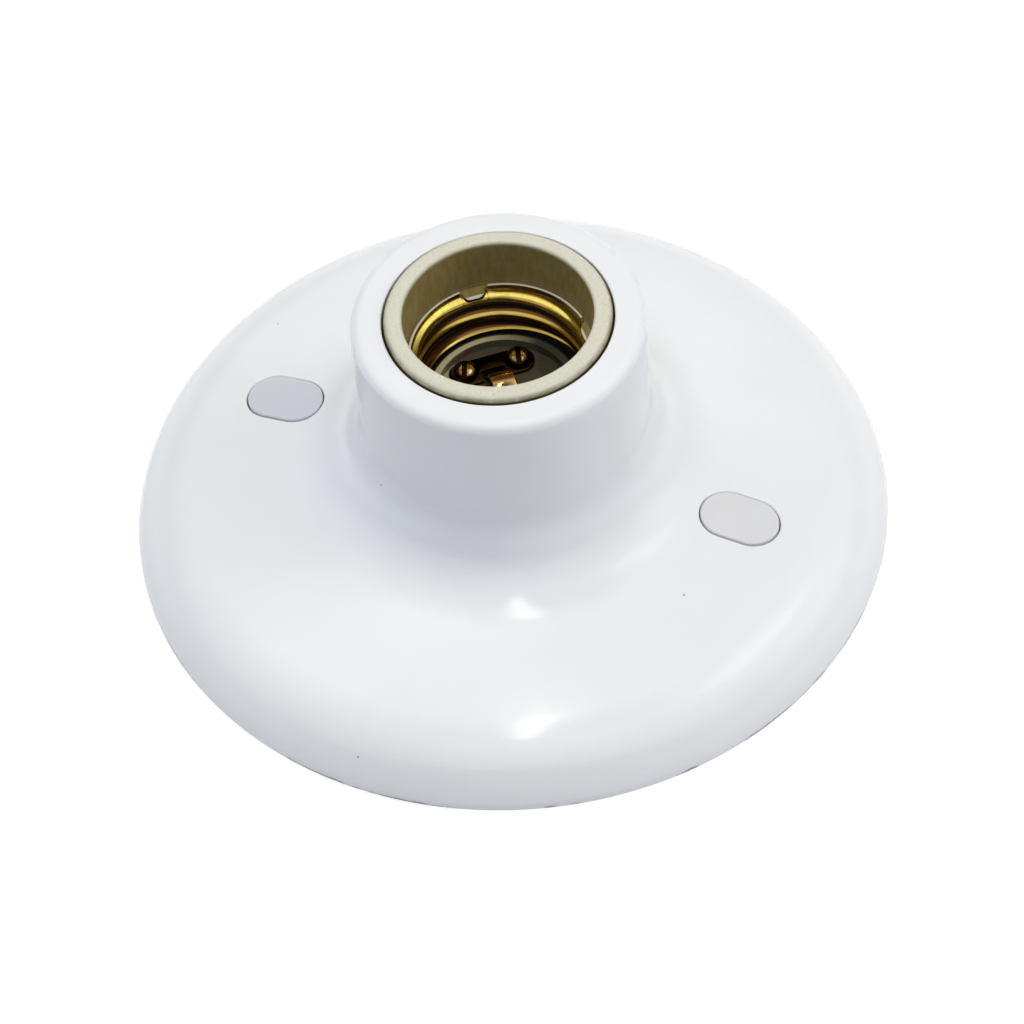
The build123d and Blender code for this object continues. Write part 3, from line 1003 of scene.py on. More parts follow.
class Effects:
    """Node groups that the materials share, each built once."""

    MOTTLE_SPAN = (0.28, 0.72)
    SPECK_EDGE = (1.15, 0.6)
    STREAK_SPAN = (0.3, 0.7)
    BREAK_SCALE = 0.09
    BREAK_SPAN = (0.35, 0.65)
    BREAK_LEAST = 0.25

    def __init__(self) -> None:
        """Build the groups, with the defaults of their inputs."""
        self.mottle = self.group("cloudy_mottle", "Value", self.lay_mottle, Size=5.0, Detail=4.0)
        self.specks = self.group("sparse_specks", "Mask", self.lay_specks, Cell=8.0, Dot=0.2, Share=0.1)
        self.band = self.group("low_band", "Mask", self.lay_band, Low=0.0, High=1.0, Wander=0.5, Size=4.0)
        self.streaks = self.group("upright_streaks", "Value", self.lay_streaks, Fine=12.0, Stretch=0.05)
        self.ripple = self.group("turning_marks", "Height", self.lay_ripple, Pitch=0.45, Amount=1.0)

    @staticmethod
    def group(name: str, output: str, lay: Callable[..., Socket], **inputs: float) -> bpy.types.NodeTree:
        """Build a node group that takes the place and named numbers and puts out one number.

        Args:
            name: the group's name.
            output: the output's name.
            lay: lays the nodes, given the shader helper and the group's inputs.
            inputs: number inputs with their defaults.

        Returns:
            The group.
        """
        tree = bpy.data.node_groups.new(name, "ShaderNodeTree")
        tree.interface.new_socket("Place", in_out="INPUT", socket_type="NodeSocketVector")
        for title, default in inputs.items():
            socket = tree.interface.new_socket(title, in_out="INPUT", socket_type="NodeSocketFloat")
            socket.default_value = default
        tree.interface.new_socket(output, in_out="OUTPUT", socket_type="NodeSocketFloat")
        given, s = tree.nodes.new("NodeGroupInput").outputs, Shader(tree)
        s.place = given["Place"]
        s.feed(tree.nodes.new("NodeGroupOutput").inputs[output], lay(s, given))
        return tree

    @staticmethod
    def lay_mottle(s: Shader, given: bpy.types.NodeOutputs) -> Socket:
        """Soft cloudy variation from 0 to 1, of a given size in millimetres."""
        noise = s.noise(s.place, s.maths("DIVIDE", 1.0, given["Size"]), given["Detail"])
        return s.ramp(noise, *Effects.MOTTLE_SPAN)

    @staticmethod
    def lay_specks(s: Shader, given: bpy.types.NodeOutputs) -> Socket:
        """Sparse round specks: Voronoi cells of a given size, a share of which hold a dot.

        Args:
            s: the group's shader helper.
            given: the group's inputs.

        Returns:
            A mask that is 1 on the specks.
        """
        scale = s.maths("DIVIDE", 1.0, given["Cell"])
        cells = s.node("TexVoronoi", {"Vector": s.place, "Scale": scale}).outputs
        chance = s.node("SeparateColor", {0: cells["Color"]}).outputs[0]
        reach = s.maths("DIVIDE", cells["Distance"], s.product(given["Dot"], scale))
        holds = s.maths("LESS_THAN", chance, given["Share"])
        return s.product(s.ramp(reach, *Effects.SPECK_EDGE), holds)

    @staticmethod
    def lay_band(s: Shader, given: bpy.types.NodeOutputs) -> Socket:
        """Band that is 1 below a height and fades to 0 above another, with a wandering edge.

        Args:
            s: the group's shader helper.
            given: the group's inputs.

        Returns:
            The band's mask.
        """
        noise = s.noise(s.place, s.maths("DIVIDE", 1.0, given["Size"]), 5.0)
        shift = s.product(s.maths("SUBTRACT", noise, 0.5), given["Wander"])
        below = s.maths("SUBTRACT", given["High"], s.maths("ADD", s.parts[2], shift))
        span = s.maths("SUBTRACT", given["High"], given["Low"])
        return s.ramp(s.maths("DIVIDE", below, span), 0.0, 1.0)

    @staticmethod
    def lay_streaks(s: Shader, given: bpy.types.NodeOutputs) -> Socket:
        """Upright streaks round the axis: noise on the direction from the axis, stretched along the height.

        Args:
            s: the group's shader helper.
            given: the group's inputs.

        Returns:
            Numbers from 0 to 1.
        """
        ray = s.node("VectorMath", {0: s.flat}, operation="NORMALIZE").outputs[0]
        along = s.node("SeparateXYZ", {0: ray}).outputs
        lift = s.product(s.parts[2], given["Stretch"])
        point = s.node("CombineXYZ", {0: along[0], 1: along[1], 2: lift}).outputs[0]
        return s.ramp(s.noise(point, given["Fine"], 3.0), *Effects.STREAK_SPAN)

    @staticmethod
    def lay_ripple(s: Shader, given: bpy.types.NodeOutputs) -> Socket:
        """Turning marks: fine rings by distance from the axis, broken up by a slow noise.

        Args:
            s: the group's shader helper.
            given: the group's inputs.

        Returns:
            Heights of the marks.
        """
        noise = s.noise(s.place, Effects.BREAK_SCALE, 2.0)
        count = s.maths("ADD", s.maths("DIVIDE", s.reach, given["Pitch"]), noise)
        broken = s.ramp(noise, *Effects.BREAK_SPAN, Effects.BREAK_LEAST, 1.0)
        wave = s.maths("SINE", s.product(count, 2 * pi))
        return s.product(wave, s.product(broken, given["Amount"]))


@dataclass(frozen=True)
class Finish:
    """A material of the lamp holder; each kind lays its own nodes."""

    name: str
    effects: Effects

    def material(self) -> bpy.types.Material:
        """Make the material and feed its Principled shader.

        Returns:
            The finished material.
        """
        made = bpy.data.materials.new(self.name)
        made.use_nodes = True
        s, inputs = Shader(made.node_tree), made.node_tree.nodes["Principled BSDF"].inputs
        for key, value in self.lay(s).items():
            s.feed(inputs[key], value)
        return made

    def lay(self, s: Shader) -> Surface:
        """Lay the nodes of this finish; each kind says how."""
        raise NotImplementedError


@dataclass(frozen=True)
class MouldedPlastic(Finish):
    """Glossy moulded plastic: faint clouding, turning marks from the mould, specks and a dirty foot."""

    colour: Colour = (0.85, 0.856, 0.866)
    cloud: Colour = (0.83, 0.838, 0.85)
    dirt: Colour = (0.16, 0.14, 0.12)
    gloss: float = 0.1
    matt: float = 0.14
    marks: float = 0.002
    foot_dirt: float = 0.75
    foot_clouds: Point = (0.48, 0.62)
    dirt_rough: float = 0.6
    satin: float = 0.36
    satin_low: float = 40.5
    satin_height: float = 42.0
    speck_share: float = 0.04
    speck_dirt: float = 0.7
    dot_dirt: float = 0.85
    dot_edge: Point = (1.3, 0.6)
    dots: tuple[tuple[float, float, float, float], ...] = ()

    def lay(self, s: Shader) -> Surface:
        """Cloud the colour, dot it with specks, darken the foot's edge and ripple the gloss.

        Args:
            s: the material's shader helper.

        Returns:
            Inputs of the Principled shader with their values.
        """
        fx = self.effects
        cloud, fine = s.effect(fx.mottle, Size=14.0), s.effect(fx.mottle, Size=3.0)
        specks = s.effect(fx.specks, Cell=9.0, Dot=0.22, Share=self.speck_share)
        foot = s.effect(fx.band, Low=0.05, High=0.55, Wander=1.6, Size=2.5)
        foot = s.product(foot, s.ramp(cloud, *self.foot_clouds, 0.0, self.foot_dirt))
        dirty, (far, near) = s.most(foot, s.product(specks, self.speck_dirt)), self.dot_edge
        for *centre, size in self.dots:
            away = s.vector("DISTANCE", s.place, tuple(centre))
            dirty = s.most(dirty, s.ramp(away, size * far, size * near, 0.0, self.dot_dirt))
        satin = s.ramp(s.parts[2], self.satin_low, self.satin_height, 0.0, self.satin)
        rough = s.ramp(fine, 0.0, 1.0, self.gloss, self.matt)
        return {
            "Base Color": s.mix(dirty, s.mix(cloud, self.colour, self.cloud), self.dirt),
            "Roughness": s.most(rough, s.product(dirty, self.dirt_rough), satin),
            "Normal": s.bump(s.effect(fx.ripple, Amount=self.marks), 1.0),
            "IOR": 1.5,
        }


@dataclass(frozen=True)
class Porcelain(Finish):
    """Unglazed cream porcelain with a fine grain."""

    colour: Colour = (0.63, 0.61, 0.485)
    pale: Colour = (0.70, 0.68, 0.56)
    gloss: float = 0.6
    matt: float = 0.78
    relief: float = 0.03
    cloud_size: float = 3.0

    def lay(self, s: Shader) -> Surface:
        """Grain the colour, the gloss and the surface, and stain what the piece's place stains.

        Args:
            s: the material's shader helper.

        Returns:
            Inputs of the Principled shader with their values.
        """
        grain = s.effect(self.effects.mottle, Size=0.5, Detail=6.0)
        cloud = s.effect(self.effects.mottle, Size=self.cloud_size)
        rough = s.ramp(grain, 0.0, 1.0, self.gloss, self.matt)
        colour, rough = self.stained(s, cloud, s.mix(grain, self.colour, self.pale), rough)
        normal = s.bump(s.maths("ADD", grain, cloud), self.relief)
        return {"Base Color": colour, "Roughness": rough, "Normal": normal}

    def stained(self, s: Shader, cloud: Socket, colour: Socket, rough: Socket) -> tuple[Socket, Socket]:
        """Colour and roughness with the piece's own stains; each kind says how."""
        raise NotImplementedError


@dataclass(frozen=True)
class BiscuitPorcelain(Porcelain):
    """Sleeve porcelain: brown specks, a dirty outer edge, a stained bore, painted shade on the ledge, under
    the lugs and in the gap.
    """

    stain: Colour = (0.29, 0.21, 0.05)
    dirt: Colour = (0.20, 0.165, 0.075)
    painted_sleeve_shade: Colour = (0.07, 0.05, 0.015)
    clean: Colour = (0.9, 0.87, 0.74)
    edge_radius: float = 16.5
    gap_shade_height: float = 42.75
    bore_radius: float = 14.35
    mouth_height: float = 43.6
    stain_depth: float = 1.1
    ledge_height: float = 35.3
    seat_height: float = 33.9
    lug_foot: float = 33.15
    edge_dirt: float = 0.9
    streaked: float = 0.3
    clouded: float = 0.15
    spotted: float = 0.2

    def stained(self, s: Shader, cloud: Socket, colour: Socket, rough: Socket) -> tuple[Socket, Socket]:
        """Stain the bore with streaks by depth, leave the lugs' feet clean and painted light, and dirty the
        outer edge.

        Args:
            s: the material's shader helper.
            cloud: slow variation from 0 to 1.
            colour: the grained colour.
            rough: the grained roughness.

        Returns:
            The stained colour and the roughness.
        """
        height, reach, seat, edge = s.parts[2], s.reach, self.seat_height, self.edge_radius
        specks = s.effect(self.effects.specks, Cell=1.3, Dot=0.22, Share=0.12)
        streaks = s.effect(self.effects.streaks, Fine=16.0, Stretch=0.02)
        # clean porcelain below the seat height, painted paler than the grain's colours as the light that the
        # lugs catch
        colour = s.mix(s.ramp(height, seat, seat - 0.1), colour, self.clean)
        inside = s.ramp(reach, self.bore_radius + 0.15, self.bore_radius)
        inside = s.product(inside, s.ramp(height, seat - 0.1, seat))
        below = s.ramp(height, self.mouth_height, self.mouth_height - self.stain_depth)
        worn = s.maths("ADD", s.product(streaks, self.streaked), s.product(cloud, self.clouded))
        colour = s.mix(s.product(inside, below, s.ramp(worn, 0.0, 0.6, 1.0, 0.8)), colour, self.stain)
        rim = s.product(s.ramp(reach, edge - 0.35, edge + 0.25), s.ramp(cloud, 0.0, 1.0, 0.5, self.edge_dirt))
        colour = s.mix(s.most(rim, s.product(specks, self.spotted)), colour, self.dirt)
        # painted shade: the ledge above the shell's rim is darkened part way, and the wall below the lugs'
        # feet and the collar's side in the gap are darkened fully
        ledge = s.ramp(height, self.ledge_height + 0.1, self.ledge_height + 0.02)
        ledge = s.product(ledge, s.ramp(height, self.ledge_height - 0.1, self.ledge_height - 0.02, 0.0, 0.6))
        gap = s.ramp(height, self.gap_shade_height, self.gap_shade_height - 0.2)
        gap = s.product(gap, s.ramp(reach, edge + 0.05, edge + 0.15))
        under = s.ramp(height, self.lug_foot, self.lug_foot - 0.15)
        return s.mix(s.most(s.product(ledge, inside), under, gap), colour, self.painted_sleeve_shade), rough


@dataclass(frozen=True)
class SocketFloor(Porcelain):
    """Porcelain of the block under the shell: brown where it is the socket's floor, with painted shade on it.
    """

    cloud_size: float = 2.5
    floor: Colour = (0.46, 0.39, 0.23)
    painted_floor_shade: Colour = (0.012, 0.009, 0.005)
    floor_low: float = 23.0
    ring_inner: float = 10.3
    ring_outer: float = 11.1
    shade_bearing: float = PHOTO_AZIMUTH
    shade_wander: float = 3.0
    shade_start: float = -3.0
    shade_end: float = 8.0
    shade_most: float = 0.93
    middle_start: float = -9.0
    middle_end: float = -3.0

    def stained(self, s: Shader, cloud: Socket, colour: Socket, rough: Socket) -> tuple[Socket, Socket]:
        """Brown the socket's floor and paint shade on one side of it, on its middle and in the trough round
        its ring.

        Args:
            s: the material's shader helper.
            cloud: slow variation from 0 to 1.
            colour: the grained colour.
            rough: the grained roughness.

        Returns:
            The stained colour and roughness.
        """
        # painted shade: near-black over one side of the floor across the bearing, on the floor inside the
        # ring and in the trough outside it
        a = radians(self.shade_bearing)
        across = s.vector("DOT_PRODUCT", s.flat, (cos(a), sin(a), 0.0))
        across = s.maths("ADD", across, s.product(cloud, self.shade_wander))
        side_shade = s.ramp(across, self.shade_start, self.shade_end, 0.0, self.shade_most)
        trough = s.ramp(s.reach, self.ring_outer - 0.1, self.ring_outer + 0.15)
        middle = s.ramp(s.reach, self.ring_inner + 0.05, self.ring_inner - 0.15)
        middle = s.product(middle, s.ramp(across, self.middle_start, self.middle_end, 0.1, 0.9))
        floor_shade_mask = s.most(side_shade, trough, middle)
        inside = s.ramp(s.parts[2], self.floor_low - 0.5, self.floor_low)
        return s.mix(inside, colour, s.mix(floor_shade_mask, self.floor, self.painted_floor_shade)), s.most(rough, floor_shade_mask)


@dataclass(frozen=True)
class Brass(Finish):
    """Brass: bright where it is clean, brown where it has tarnished in patches, and darker with depth as
    painted shade.
    """

    bright: Colour = (1.0, 0.81, 0.18)
    tarnish_and_shade: Colour = (0.02, 0.01, 0.006)
    low: float = 28.5
    high: float = 33.5
    gloss: float = 0.1
    matt: float = 0.2
    depth_shade: float = 0.6
    patches: float = 0.25
    grain: float = 0.35
    grain_rough: float = 0.05
    relief: float = 0.006

    def worn(self, s: Shader) -> Socket:
        """Share of tarnishing in patches of cloud and streak, or of painted shade that grows with depth,
        where it is more.

        Args:
            s: the material's shader helper.

        Returns:
            A mask from 0 to 1.
        """
        fx = self.effects
        cloud, streaks = s.effect(fx.mottle, Size=2.2), s.effect(fx.streaks, Fine=22.0, Stretch=0.05)
        # painted shade: the colour darkens below a height band, deeper in the socket
        deep = s.effect(fx.band, Low=self.low, High=self.high, Wander=1.5, Size=3.0)
        return s.most(s.product(cloud, streaks, self.patches), s.product(deep, self.depth_shade))

    def lay(self, s: Shader) -> Surface:
        """Darken the colour where it is tarnished or shaded, and dull the gloss there.

        Args:
            s: the material's shader helper.

        Returns:
            Inputs of the Principled shader with their values.
        """
        worn, fine = self.worn(s), s.effect(self.effects.mottle, Size=self.grain)
        rough = s.ramp(worn, 0.0, 1.0, self.gloss, self.matt)
        return {
            "Base Color": s.mix(worn, self.bright, self.tarnish_and_shade),
            "Roughness": s.maths("ADD", rough, s.product(fine, self.grain_rough)),
            "Metallic": 1.0,
            "Normal": s.bump(fine, self.relief),
        }


@dataclass(frozen=True)
class RolledBrass(Brass):
    """Brass of the shell: painted shade beside each bright band and on the undersides, and a pale cut rim."""

    tarnish_and_shade: Colour = (0.30, 0.115, 0.03)
    # painted shade beside the bright bands
    brown: Colour = (0.08, 0.024, 0.014)
    grime_and_shade: Colour = (0.02, 0.009, 0.005)
    cut: Colour = (0.62, 0.60, 0.50)
    cut_height: float = 35.085
    cut_rough: float = 0.6
    shade_rough: float = 0.9
    grooves: float = 0.97
    pitch: float = ScrewShell.pitch
    bottom: float = ScrewShell.bottom
    crest_turn: float = ScrewShell.start_turn - 75.0
    thread_top: float = 34.0
    top_turn: Point = (31.0, 32.0)
    top_lean: float = 0.42
    band_edge: Point = (-0.995, -0.88)
    band_fade: Point = (32.6, 31.2)
    shade_edge: Point = (-0.42, -0.09)

    def worn(self, s: Shader) -> Socket:
        """Share of tarnishing and painted depth shade, less along the shell's bottom edge."""
        return s.product(super().worn(s), s.ramp(s.parts[2], self.bottom + 0.1, self.bottom + 0.3, 0.6, 1.0))

    def phase(self, s: Shader) -> Socket:
        """Place on the thread's wave, by the angle round the axis less one turn a pitch.

        Args:
            s: the material's shader helper.

        Returns:
            A socket with 1 in the middle of the underside and -1 in the middle of the side that faces up.
        """
        x, y, z = s.parts
        lead = s.product(s.maths("SUBTRACT", z, self.bottom), 2 * pi / self.pitch)
        away = s.maths("SUBTRACT", s.maths("ARCTAN2", y, x), lead)
        away = s.maths("SUBTRACT", away, radians(self.crest_turn))
        return s.maths("COSINE", s.maths("ADD", away, s.ramp(z, *self.top_turn, 0.0, self.top_lean)))

    def lay(self, s: Shader) -> Surface:
        """Paint shade beside the bright bands and on the thread's undersides, and paint the raw cut rim pale
        as its highlight.

        Args:
            s: the material's shader helper.

        Returns:
            Inputs of the Principled shader with their values.
        """
        plain, height, bottom, grooves = super().lay(s), s.parts[2], self.bottom, self.grooves
        phase, fine = self.phase(s), s.effect(self.effects.mottle, Size=self.grain)
        # cut rim: a raw edge, painted pale and not metallic so that it shows as the light line of the rim's
        # highlight
        cut = s.ramp(height, self.cut_height - 0.03, self.cut_height)
        thread = s.ramp(height, self.thread_top + 0.3, self.thread_top - 0.3)
        # painted shade: dark brown everywhere but the core of each flank that faces up, so bright brass shows
        # only where the highlight band falls; weaker over the top turn and along the bottom edge, and over
        # the lowest 1.5 mm it covers the band too
        edges = s.product(s.ramp(phase, *self.band_edge, 0.0, grooves), thread)
        edges = s.product(edges, s.ramp(height, *self.band_fade, 0.65, 0.95))
        edges = s.most(edges, s.ramp(height, bottom + 1.5, bottom + 0.8, 0.0, grooves * 0.75))
        edges = s.product(edges, s.ramp(height, bottom + 0.12, bottom + 0.3, 0.45, 1.0))
        # painted shade: the thread's undersides are darkened to near-black, made rough and not metallic
        shade = s.product(s.ramp(phase, *self.shade_edge), thread)
        shade = s.product(shade, s.ramp(fine, 0.0, 1.0, grooves, grooves * 0.95))
        colour = s.mix(shade, s.mix(edges, plain["Base Color"], self.brown), self.grime_and_shade)
        rough = s.most(plain["Roughness"], s.product(cut, self.cut_rough), s.product(shade, self.shade_rough))
        return plain | {
            "Base Color": s.mix(cut, colour, self.cut),
            "Roughness": rough,
            "Metallic": s.maths("SUBTRACT", 1.0, s.most(shade, cut)),
        }


@dataclass(frozen=True)
class PlatedSteel(Finish):
    """Zinc-plated steel of the fasteners: cool grey with a warm cast in patches and scuffed gloss."""

    colour: Colour = (0.50, 0.49, 0.46)
    cast: Colour = (0.55, 0.45, 0.26)
    grime_and_shade: Colour = (0.10, 0.085, 0.07)
    gloss: float = 0.25
    matt: float = 0.42
    speck_dirt: float = 0.6
    relief: float = 0.01

    def lay(self, s: Shader) -> Surface:
        """Cast the colour in patches, speck it with grime and scuff its gloss.

        Args:
            s: the material's shader helper.

        Returns:
            Inputs of the Principled shader with their values.
        """
        fx = self.effects
        cloud, fine = s.effect(fx.mottle, Size=1.5), s.effect(fx.mottle, Size=0.3)
        specks = s.product(s.effect(fx.specks, Cell=0.7, Dot=0.3, Share=0.35), self.speck_dirt)
        return {
            "Base Color": s.mix(specks, s.mix(cloud, self.colour, self.cast), self.grime_and_shade),
            "Roughness": s.ramp(fine, 0.0, 1.0, self.gloss, self.matt),
            "Metallic": 1.0,
            "Normal": s.bump(fine, self.relief),
        }


@dataclass(frozen=True)
class SoftLight:
    """Rectangular studio lamp that points at the lamp holder."""

    name: str
    azimuth: float
    elevation: float
    distance: float
    width: float
    height: float
    power: float
    colour: Colour = WHITE
    spin: float = 0.0
    mirrored: bool = False
    aim: float = 0.02

    def build(self) -> None:
        """Put the lamp at its bearing, turned towards the middle of the lamp holder."""
        data = bpy.data.lights.new(self.name, "AREA")
        data.shape = "RECTANGLE"
        data.size, data.size_y = self.width, self.height
        data.energy, data.color = self.power, self.colour
        lamp = bpy.data.objects.new(self.name, data)
        lamp.visible_glossy = self.mirrored
        a, e = radians(self.azimuth), radians(self.elevation)
        away = Vector((sin(a) * cos(e), -cos(a) * cos(e), sin(e)))
        turn = away.to_track_quat("Z", "Y").to_matrix().to_4x4() @ Matrix.Rotation(radians(self.spin), 4, "Z")
        lamp.matrix_world = Matrix.Translation(away * self.distance + Vector((0, 0, self.aim))) @ turn
        bpy.context.scene.collection.objects.link(lamp)


@dataclass
class Studio:
    """White floor and surround, soft lamps and the camera at the photograph's place."""

    swing: float = 0.43
    elevation: float = 50.43
    roll: float = 4.468
    distance: float = 598.268
    off_right: float = 0.059
    off_up: float = 1.319
    focal: float = 3888.265
    frame_pixels: float = 1024.0
    sensor: float = 36.0
    near_clip: float = 0.02
    floor_size: float = 3.0
    floor_grey: Colour = (0.8, 0.8, 0.8)
    floor_glow: float = 0.32
    ambient: Colour = (0.04, 0.04, 0.04)
    ceiling: Colour = (0.05, 0.052, 0.056)
    wall_end: float = -3.0
    ceiling_start: float = 24.0
    glow_sag: float = 0.35
    glow_band: tuple[float, float, float, float] = (29.0, 42.0, 62.0, 88.0)
    glow_start: float = -0.2
    glow_end: float = -0.7
    lamps: tuple[SoftLight, ...] = (
        SoftLight("overhead_strip", PHOTO_AZIMUTH, 90.0, 1.6, 0.09, 0.95, 2.1, spin=21.4, mirrored=True),
        SoftLight("right_window", 116.0, 56.0, 1.8, 0.75, 0.5, 1.65, mirrored=True),
        SoftLight("overhead_cloth", PHOTO_AZIMUTH, 90.0, 2.0, 1.6, 1.6, 17.2, (1.0, 0.91, 0.64)),
        SoftLight("front_cloth", PHOTO_AZIMUTH, 65.0, 1.8, 0.9, 0.8, 10.7, (0.65, 0.745, 1.0)),
        SoftLight("right_fill", 114.6, 25.0, 1.8, 0.9, 0.8, 10.3, (0.89, 0.9, 1.0)),
        SoftLight("right_high_fill", 114.6, 60.0, 1.8, 0.9, 0.8, 1.7, (1.0, 0.88, 0.53)),
        SoftLight("back_fill", 204.6, 45.0, 1.8, 0.9, 1.0, 2.2, (0.57, 0.76, 1.0)),
        SoftLight("left_back_fill", 250.0, 40.0, 1.8, 0.9, 1.0, 5.9, (0.89, 0.89, 1.0)),
        SoftLight("left_fill", 294.6, 35.0, 1.8, 0.9, 1.0, 4.3, (0.68, 0.82, 1.0)),
    )

    def camera(self) -> None:
        """Place the camera by its angles, its distance and the axis's small offset from the middle."""
        e, r, a = radians(self.elevation), radians(self.roll), self.swing
        back, up, right = Vector((0, -cos(e), sin(e))), Vector((0, sin(e), cos(e))), Vector((1, 0, 0))
        side, top = right * cos(r) - up * sin(r), right * sin(r) + up * cos(r)
        place = back * self.distance - side * self.off_right - top * self.off_up
        swing = Matrix(((cos(a), -sin(a), 0), (sin(a), cos(a), 0), (0, 0, 1)))
        data = bpy.data.cameras.new("camera")
        data.sensor_width, data.clip_start = self.sensor, self.near_clip
        data.lens = self.focal * self.sensor / self.frame_pixels
        camera = bpy.data.objects.new("camera", data)
        axes = Matrix((swing @ side, swing @ top, swing @ back)).transposed()
        camera.matrix_world = Matrix.Translation(swing @ place * MM) @ axes.to_4x4()
        bpy.context.scene.collection.objects.link(camera)
        bpy.context.scene.camera = camera

    def seen(self, s: Shader) -> Socket:
        """Output that is 1 on rays from the camera, a mirror or a lens."""
        path = s.node("LightPath").outputs
        return s.most(path["Is Camera Ray"], path["Is Glossy Ray"], path["Is Transmission Ray"])

    def surround(self) -> None:
        """White walls where they are seen, a dim ceiling with a soft glow and a faint fill elsewhere."""
        world = bpy.context.scene.world = bpy.data.worlds.new("surround")
        world.use_nodes = True
        s, a = Shader(world.node_tree), radians(PHOTO_AZIMUTH)
        ray = s.node("TexCoord").outputs["Generated"]
        height = s.node("SeparateXYZ", {0: ray}).outputs[2]
        front = s.vector("DOT_PRODUCT", ray, (sin(a), -cos(a), 0.0))
        side = s.maths("ABSOLUTE", s.vector("DOT_PRODUCT", ray, (cos(a), sin(a), 0.0)))
        lift = s.maths("ADD", height, s.product(side, self.glow_sag))
        start, low, high, end = (sin(radians(angle)) for angle in self.glow_band)
        glow = s.product(s.ramp(lift, start, low), s.ramp(height, end, high))
        glow = s.product(glow, s.ramp(front, self.glow_end, self.glow_start))
        walls = s.ramp(height, sin(radians(self.ceiling_start)), sin(radians(self.wall_end)))
        shown = s.mix(s.most(walls, glow), self.ceiling, WHITE)
        sky = world.node_tree.nodes["Background"].inputs["Color"]
        s.feed(sky, s.mix(self.seen(s), self.ambient, shown))

    def floor(self) -> None:
        """Plain white floor that keeps a soft shadow."""
        half = self.floor_size / 2
        mesh = bpy.data.meshes.new("floor")
        corners = [(-half, -half, 0), (half, -half, 0), (half, half, 0), (-half, half, 0)]
        mesh.from_pydata(corners, [], [(0, 1, 2, 3)])
        floor = bpy.data.objects.new("floor", mesh)
        bpy.context.scene.collection.objects.link(floor)
        material = bpy.data.materials.new("floor_white")
        material.use_nodes = True
        s, inputs = Shader(material.node_tree), material.node_tree.nodes["Principled BSDF"].inputs
        values = {
            "Base Color": self.floor_grey,
            "Roughness": 1.0,
            "Specular IOR Level": 0.0,
            "Emission Color": WHITE,
            "Emission Strength": s.product(self.seen(s), self.floor_glow),
        }
        for key, value in values.items():
            s.feed(inputs[key], value)
        mesh.materials.append(material)
        floor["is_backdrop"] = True

    def build(self) -> None:
        """Set up the view, the camera, the surround, the floor and the lamps."""
        bpy.context.scene.view_settings.view_transform = "Standard"
        self.camera()
        self.surround()
        self.floor()
        for lamp in self.lamps:
            lamp.build()
        log.info("studio: floor, surround, camera and %d lamps", len(self.lamps))


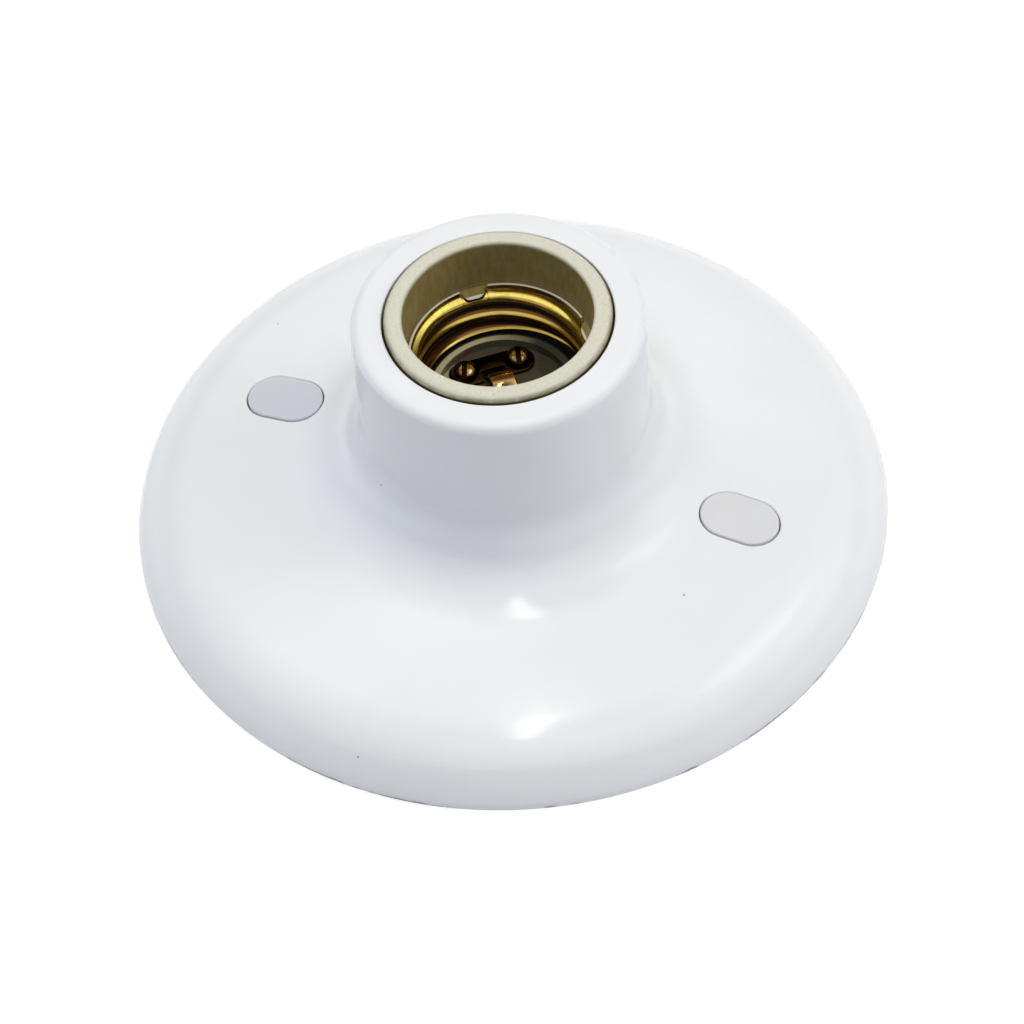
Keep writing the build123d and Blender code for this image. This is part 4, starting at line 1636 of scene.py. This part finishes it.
@dataclass
class LampHolder:
    """The whole lamp holder: its pieces, what each stands for and how each is dressed."""

    effects: Effects = field(default_factory=Effects)
    cap_cloud: float = 0.985

    def cap_finish(self, name: str, colour: Colour) -> MouldedPlastic:
        """A cap's plastic, a little duller than the cover and almost even in colour."""
        values = {"cloud": tuple(part * self.cap_cloud for part in colour), "gloss": 0.2, "matt": 0.26}
        return MouldedPlastic(name, self.effects, colour, foot_dirt=0.0, speck_share=0.02, **values)

    def fit(
        self, piece: bpy.types.Object, body: Body, node: str, dress: bpy.types.Material
    ) -> None:
        """Let a piece ride on its body, stand for its node and wear its finish.

        Args:
            piece: the new object.
            body: the body that carries it.
            node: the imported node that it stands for.
            dress: its material.
        """
        piece.data.materials.append(dress)
        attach(piece, body.value)
        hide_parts(node)
        log.info("%s stands for %s on %s", piece.name, node, body.value)

    def build(self) -> None:
        """Build and dress every piece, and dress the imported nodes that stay."""
        fx = self.effects
        # the depth band makes the contact almost black and the screw heads' sides darker than their tops:
        # tarnishing, and painted shade
        contact = Brass(
            "contact_brass", fx, (0.78, 0.46, 0.16), low=26.0, high=29.0, depth_shade=0.95, patches=0.6
        ).material()
        heads = Brass(
            "screw_head_brass", fx, (0.88, 0.60, 0.27),
            low=26.4, high=27.3, gloss=0.12, depth_shade=0.97, patches=0.3,
        ).material()
        steel = PlatedSteel("plated_steel", fx).material()
        cover = MouldedPlastic("white_cover_plastic", fx, dots=COVER_DOTS).material()
        # both caps are one grey plastic: painted shade makes the left cap darker and bluer, painted light
        # makes the right cap paler
        left = self.cap_finish("cap_plastic_painted_shade", (0.645, 0.655, 0.69)).material()
        right = self.cap_finish("cap_plastic_painted_light", (0.73, 0.73, 0.745)).material()
        sleeve = BiscuitPorcelain("cream_porcelain", fx).material()
        shell = RolledBrass("shell_brass", fx).material()
        for maker, body, slot, node, dress in (
            (CoverMoulding(), Body.HOLDER, Slot.COVER, "base_cover", cover),
            (ScrewCap(Side.LEFT), Body.LEFT_CAP, Slot.CAP, "left_screw_cap", left),
            (ScrewCap(Side.RIGHT), Body.RIGHT_CAP, Slot.CAP, "right_screw_cap", right),
            (PorcelainSleeve(), Body.HOLDER, Slot.PORCELAIN, "porcelain_sleeve", sleeve),
            (ScrewShell(), Body.HOLDER, Slot.SHELL, "screw_shell", shell),
            (CentreContact(), Body.HOLDER, Slot.CONTACT, "centre_contact", contact),
            (ContactScrew(Side.LEFT, 20.0), Body.HOLDER, Slot.CONTACT, "left_contact_screw", heads),
            (ContactScrew(Side.RIGHT, 27.0), Body.HOLDER, Slot.CONTACT, "right_contact_screw", heads),
        ):
            self.fit(maker.build(), body, node, dress)
        for dress, names in (
            (contact, ("live_terminal", "neutral_terminal", "shell_screw")),
            (steel, ("live_wire_screw", "neutral_wire_screw", "front_insert_screw", "rear_insert_screw")),
            (SocketFloor("socket_floor_porcelain", fx).material(), ("porcelain_base",)),
        ):
            for name in names:
                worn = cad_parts[name].data.materials
                worn.clear()
                worn.append(dress)
                log.info("%s wears %s", name, dress.name)


def plain(box: tuple) -> list[list[float]]:
    """Corners of a box as plain lists of numbers."""
    return [[float(number) for number in corner] for corner in box]


def main() -> None:
    """Build the lamp holder and its studio."""
    logging.basicConfig(level=logging.INFO, format="%(message)s")
    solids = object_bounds()
    LampHolder().build()
    Studio().build()
    {"cad": plain(solids), "visual": plain(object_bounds())}


if __name__ == "__main__":
    main()
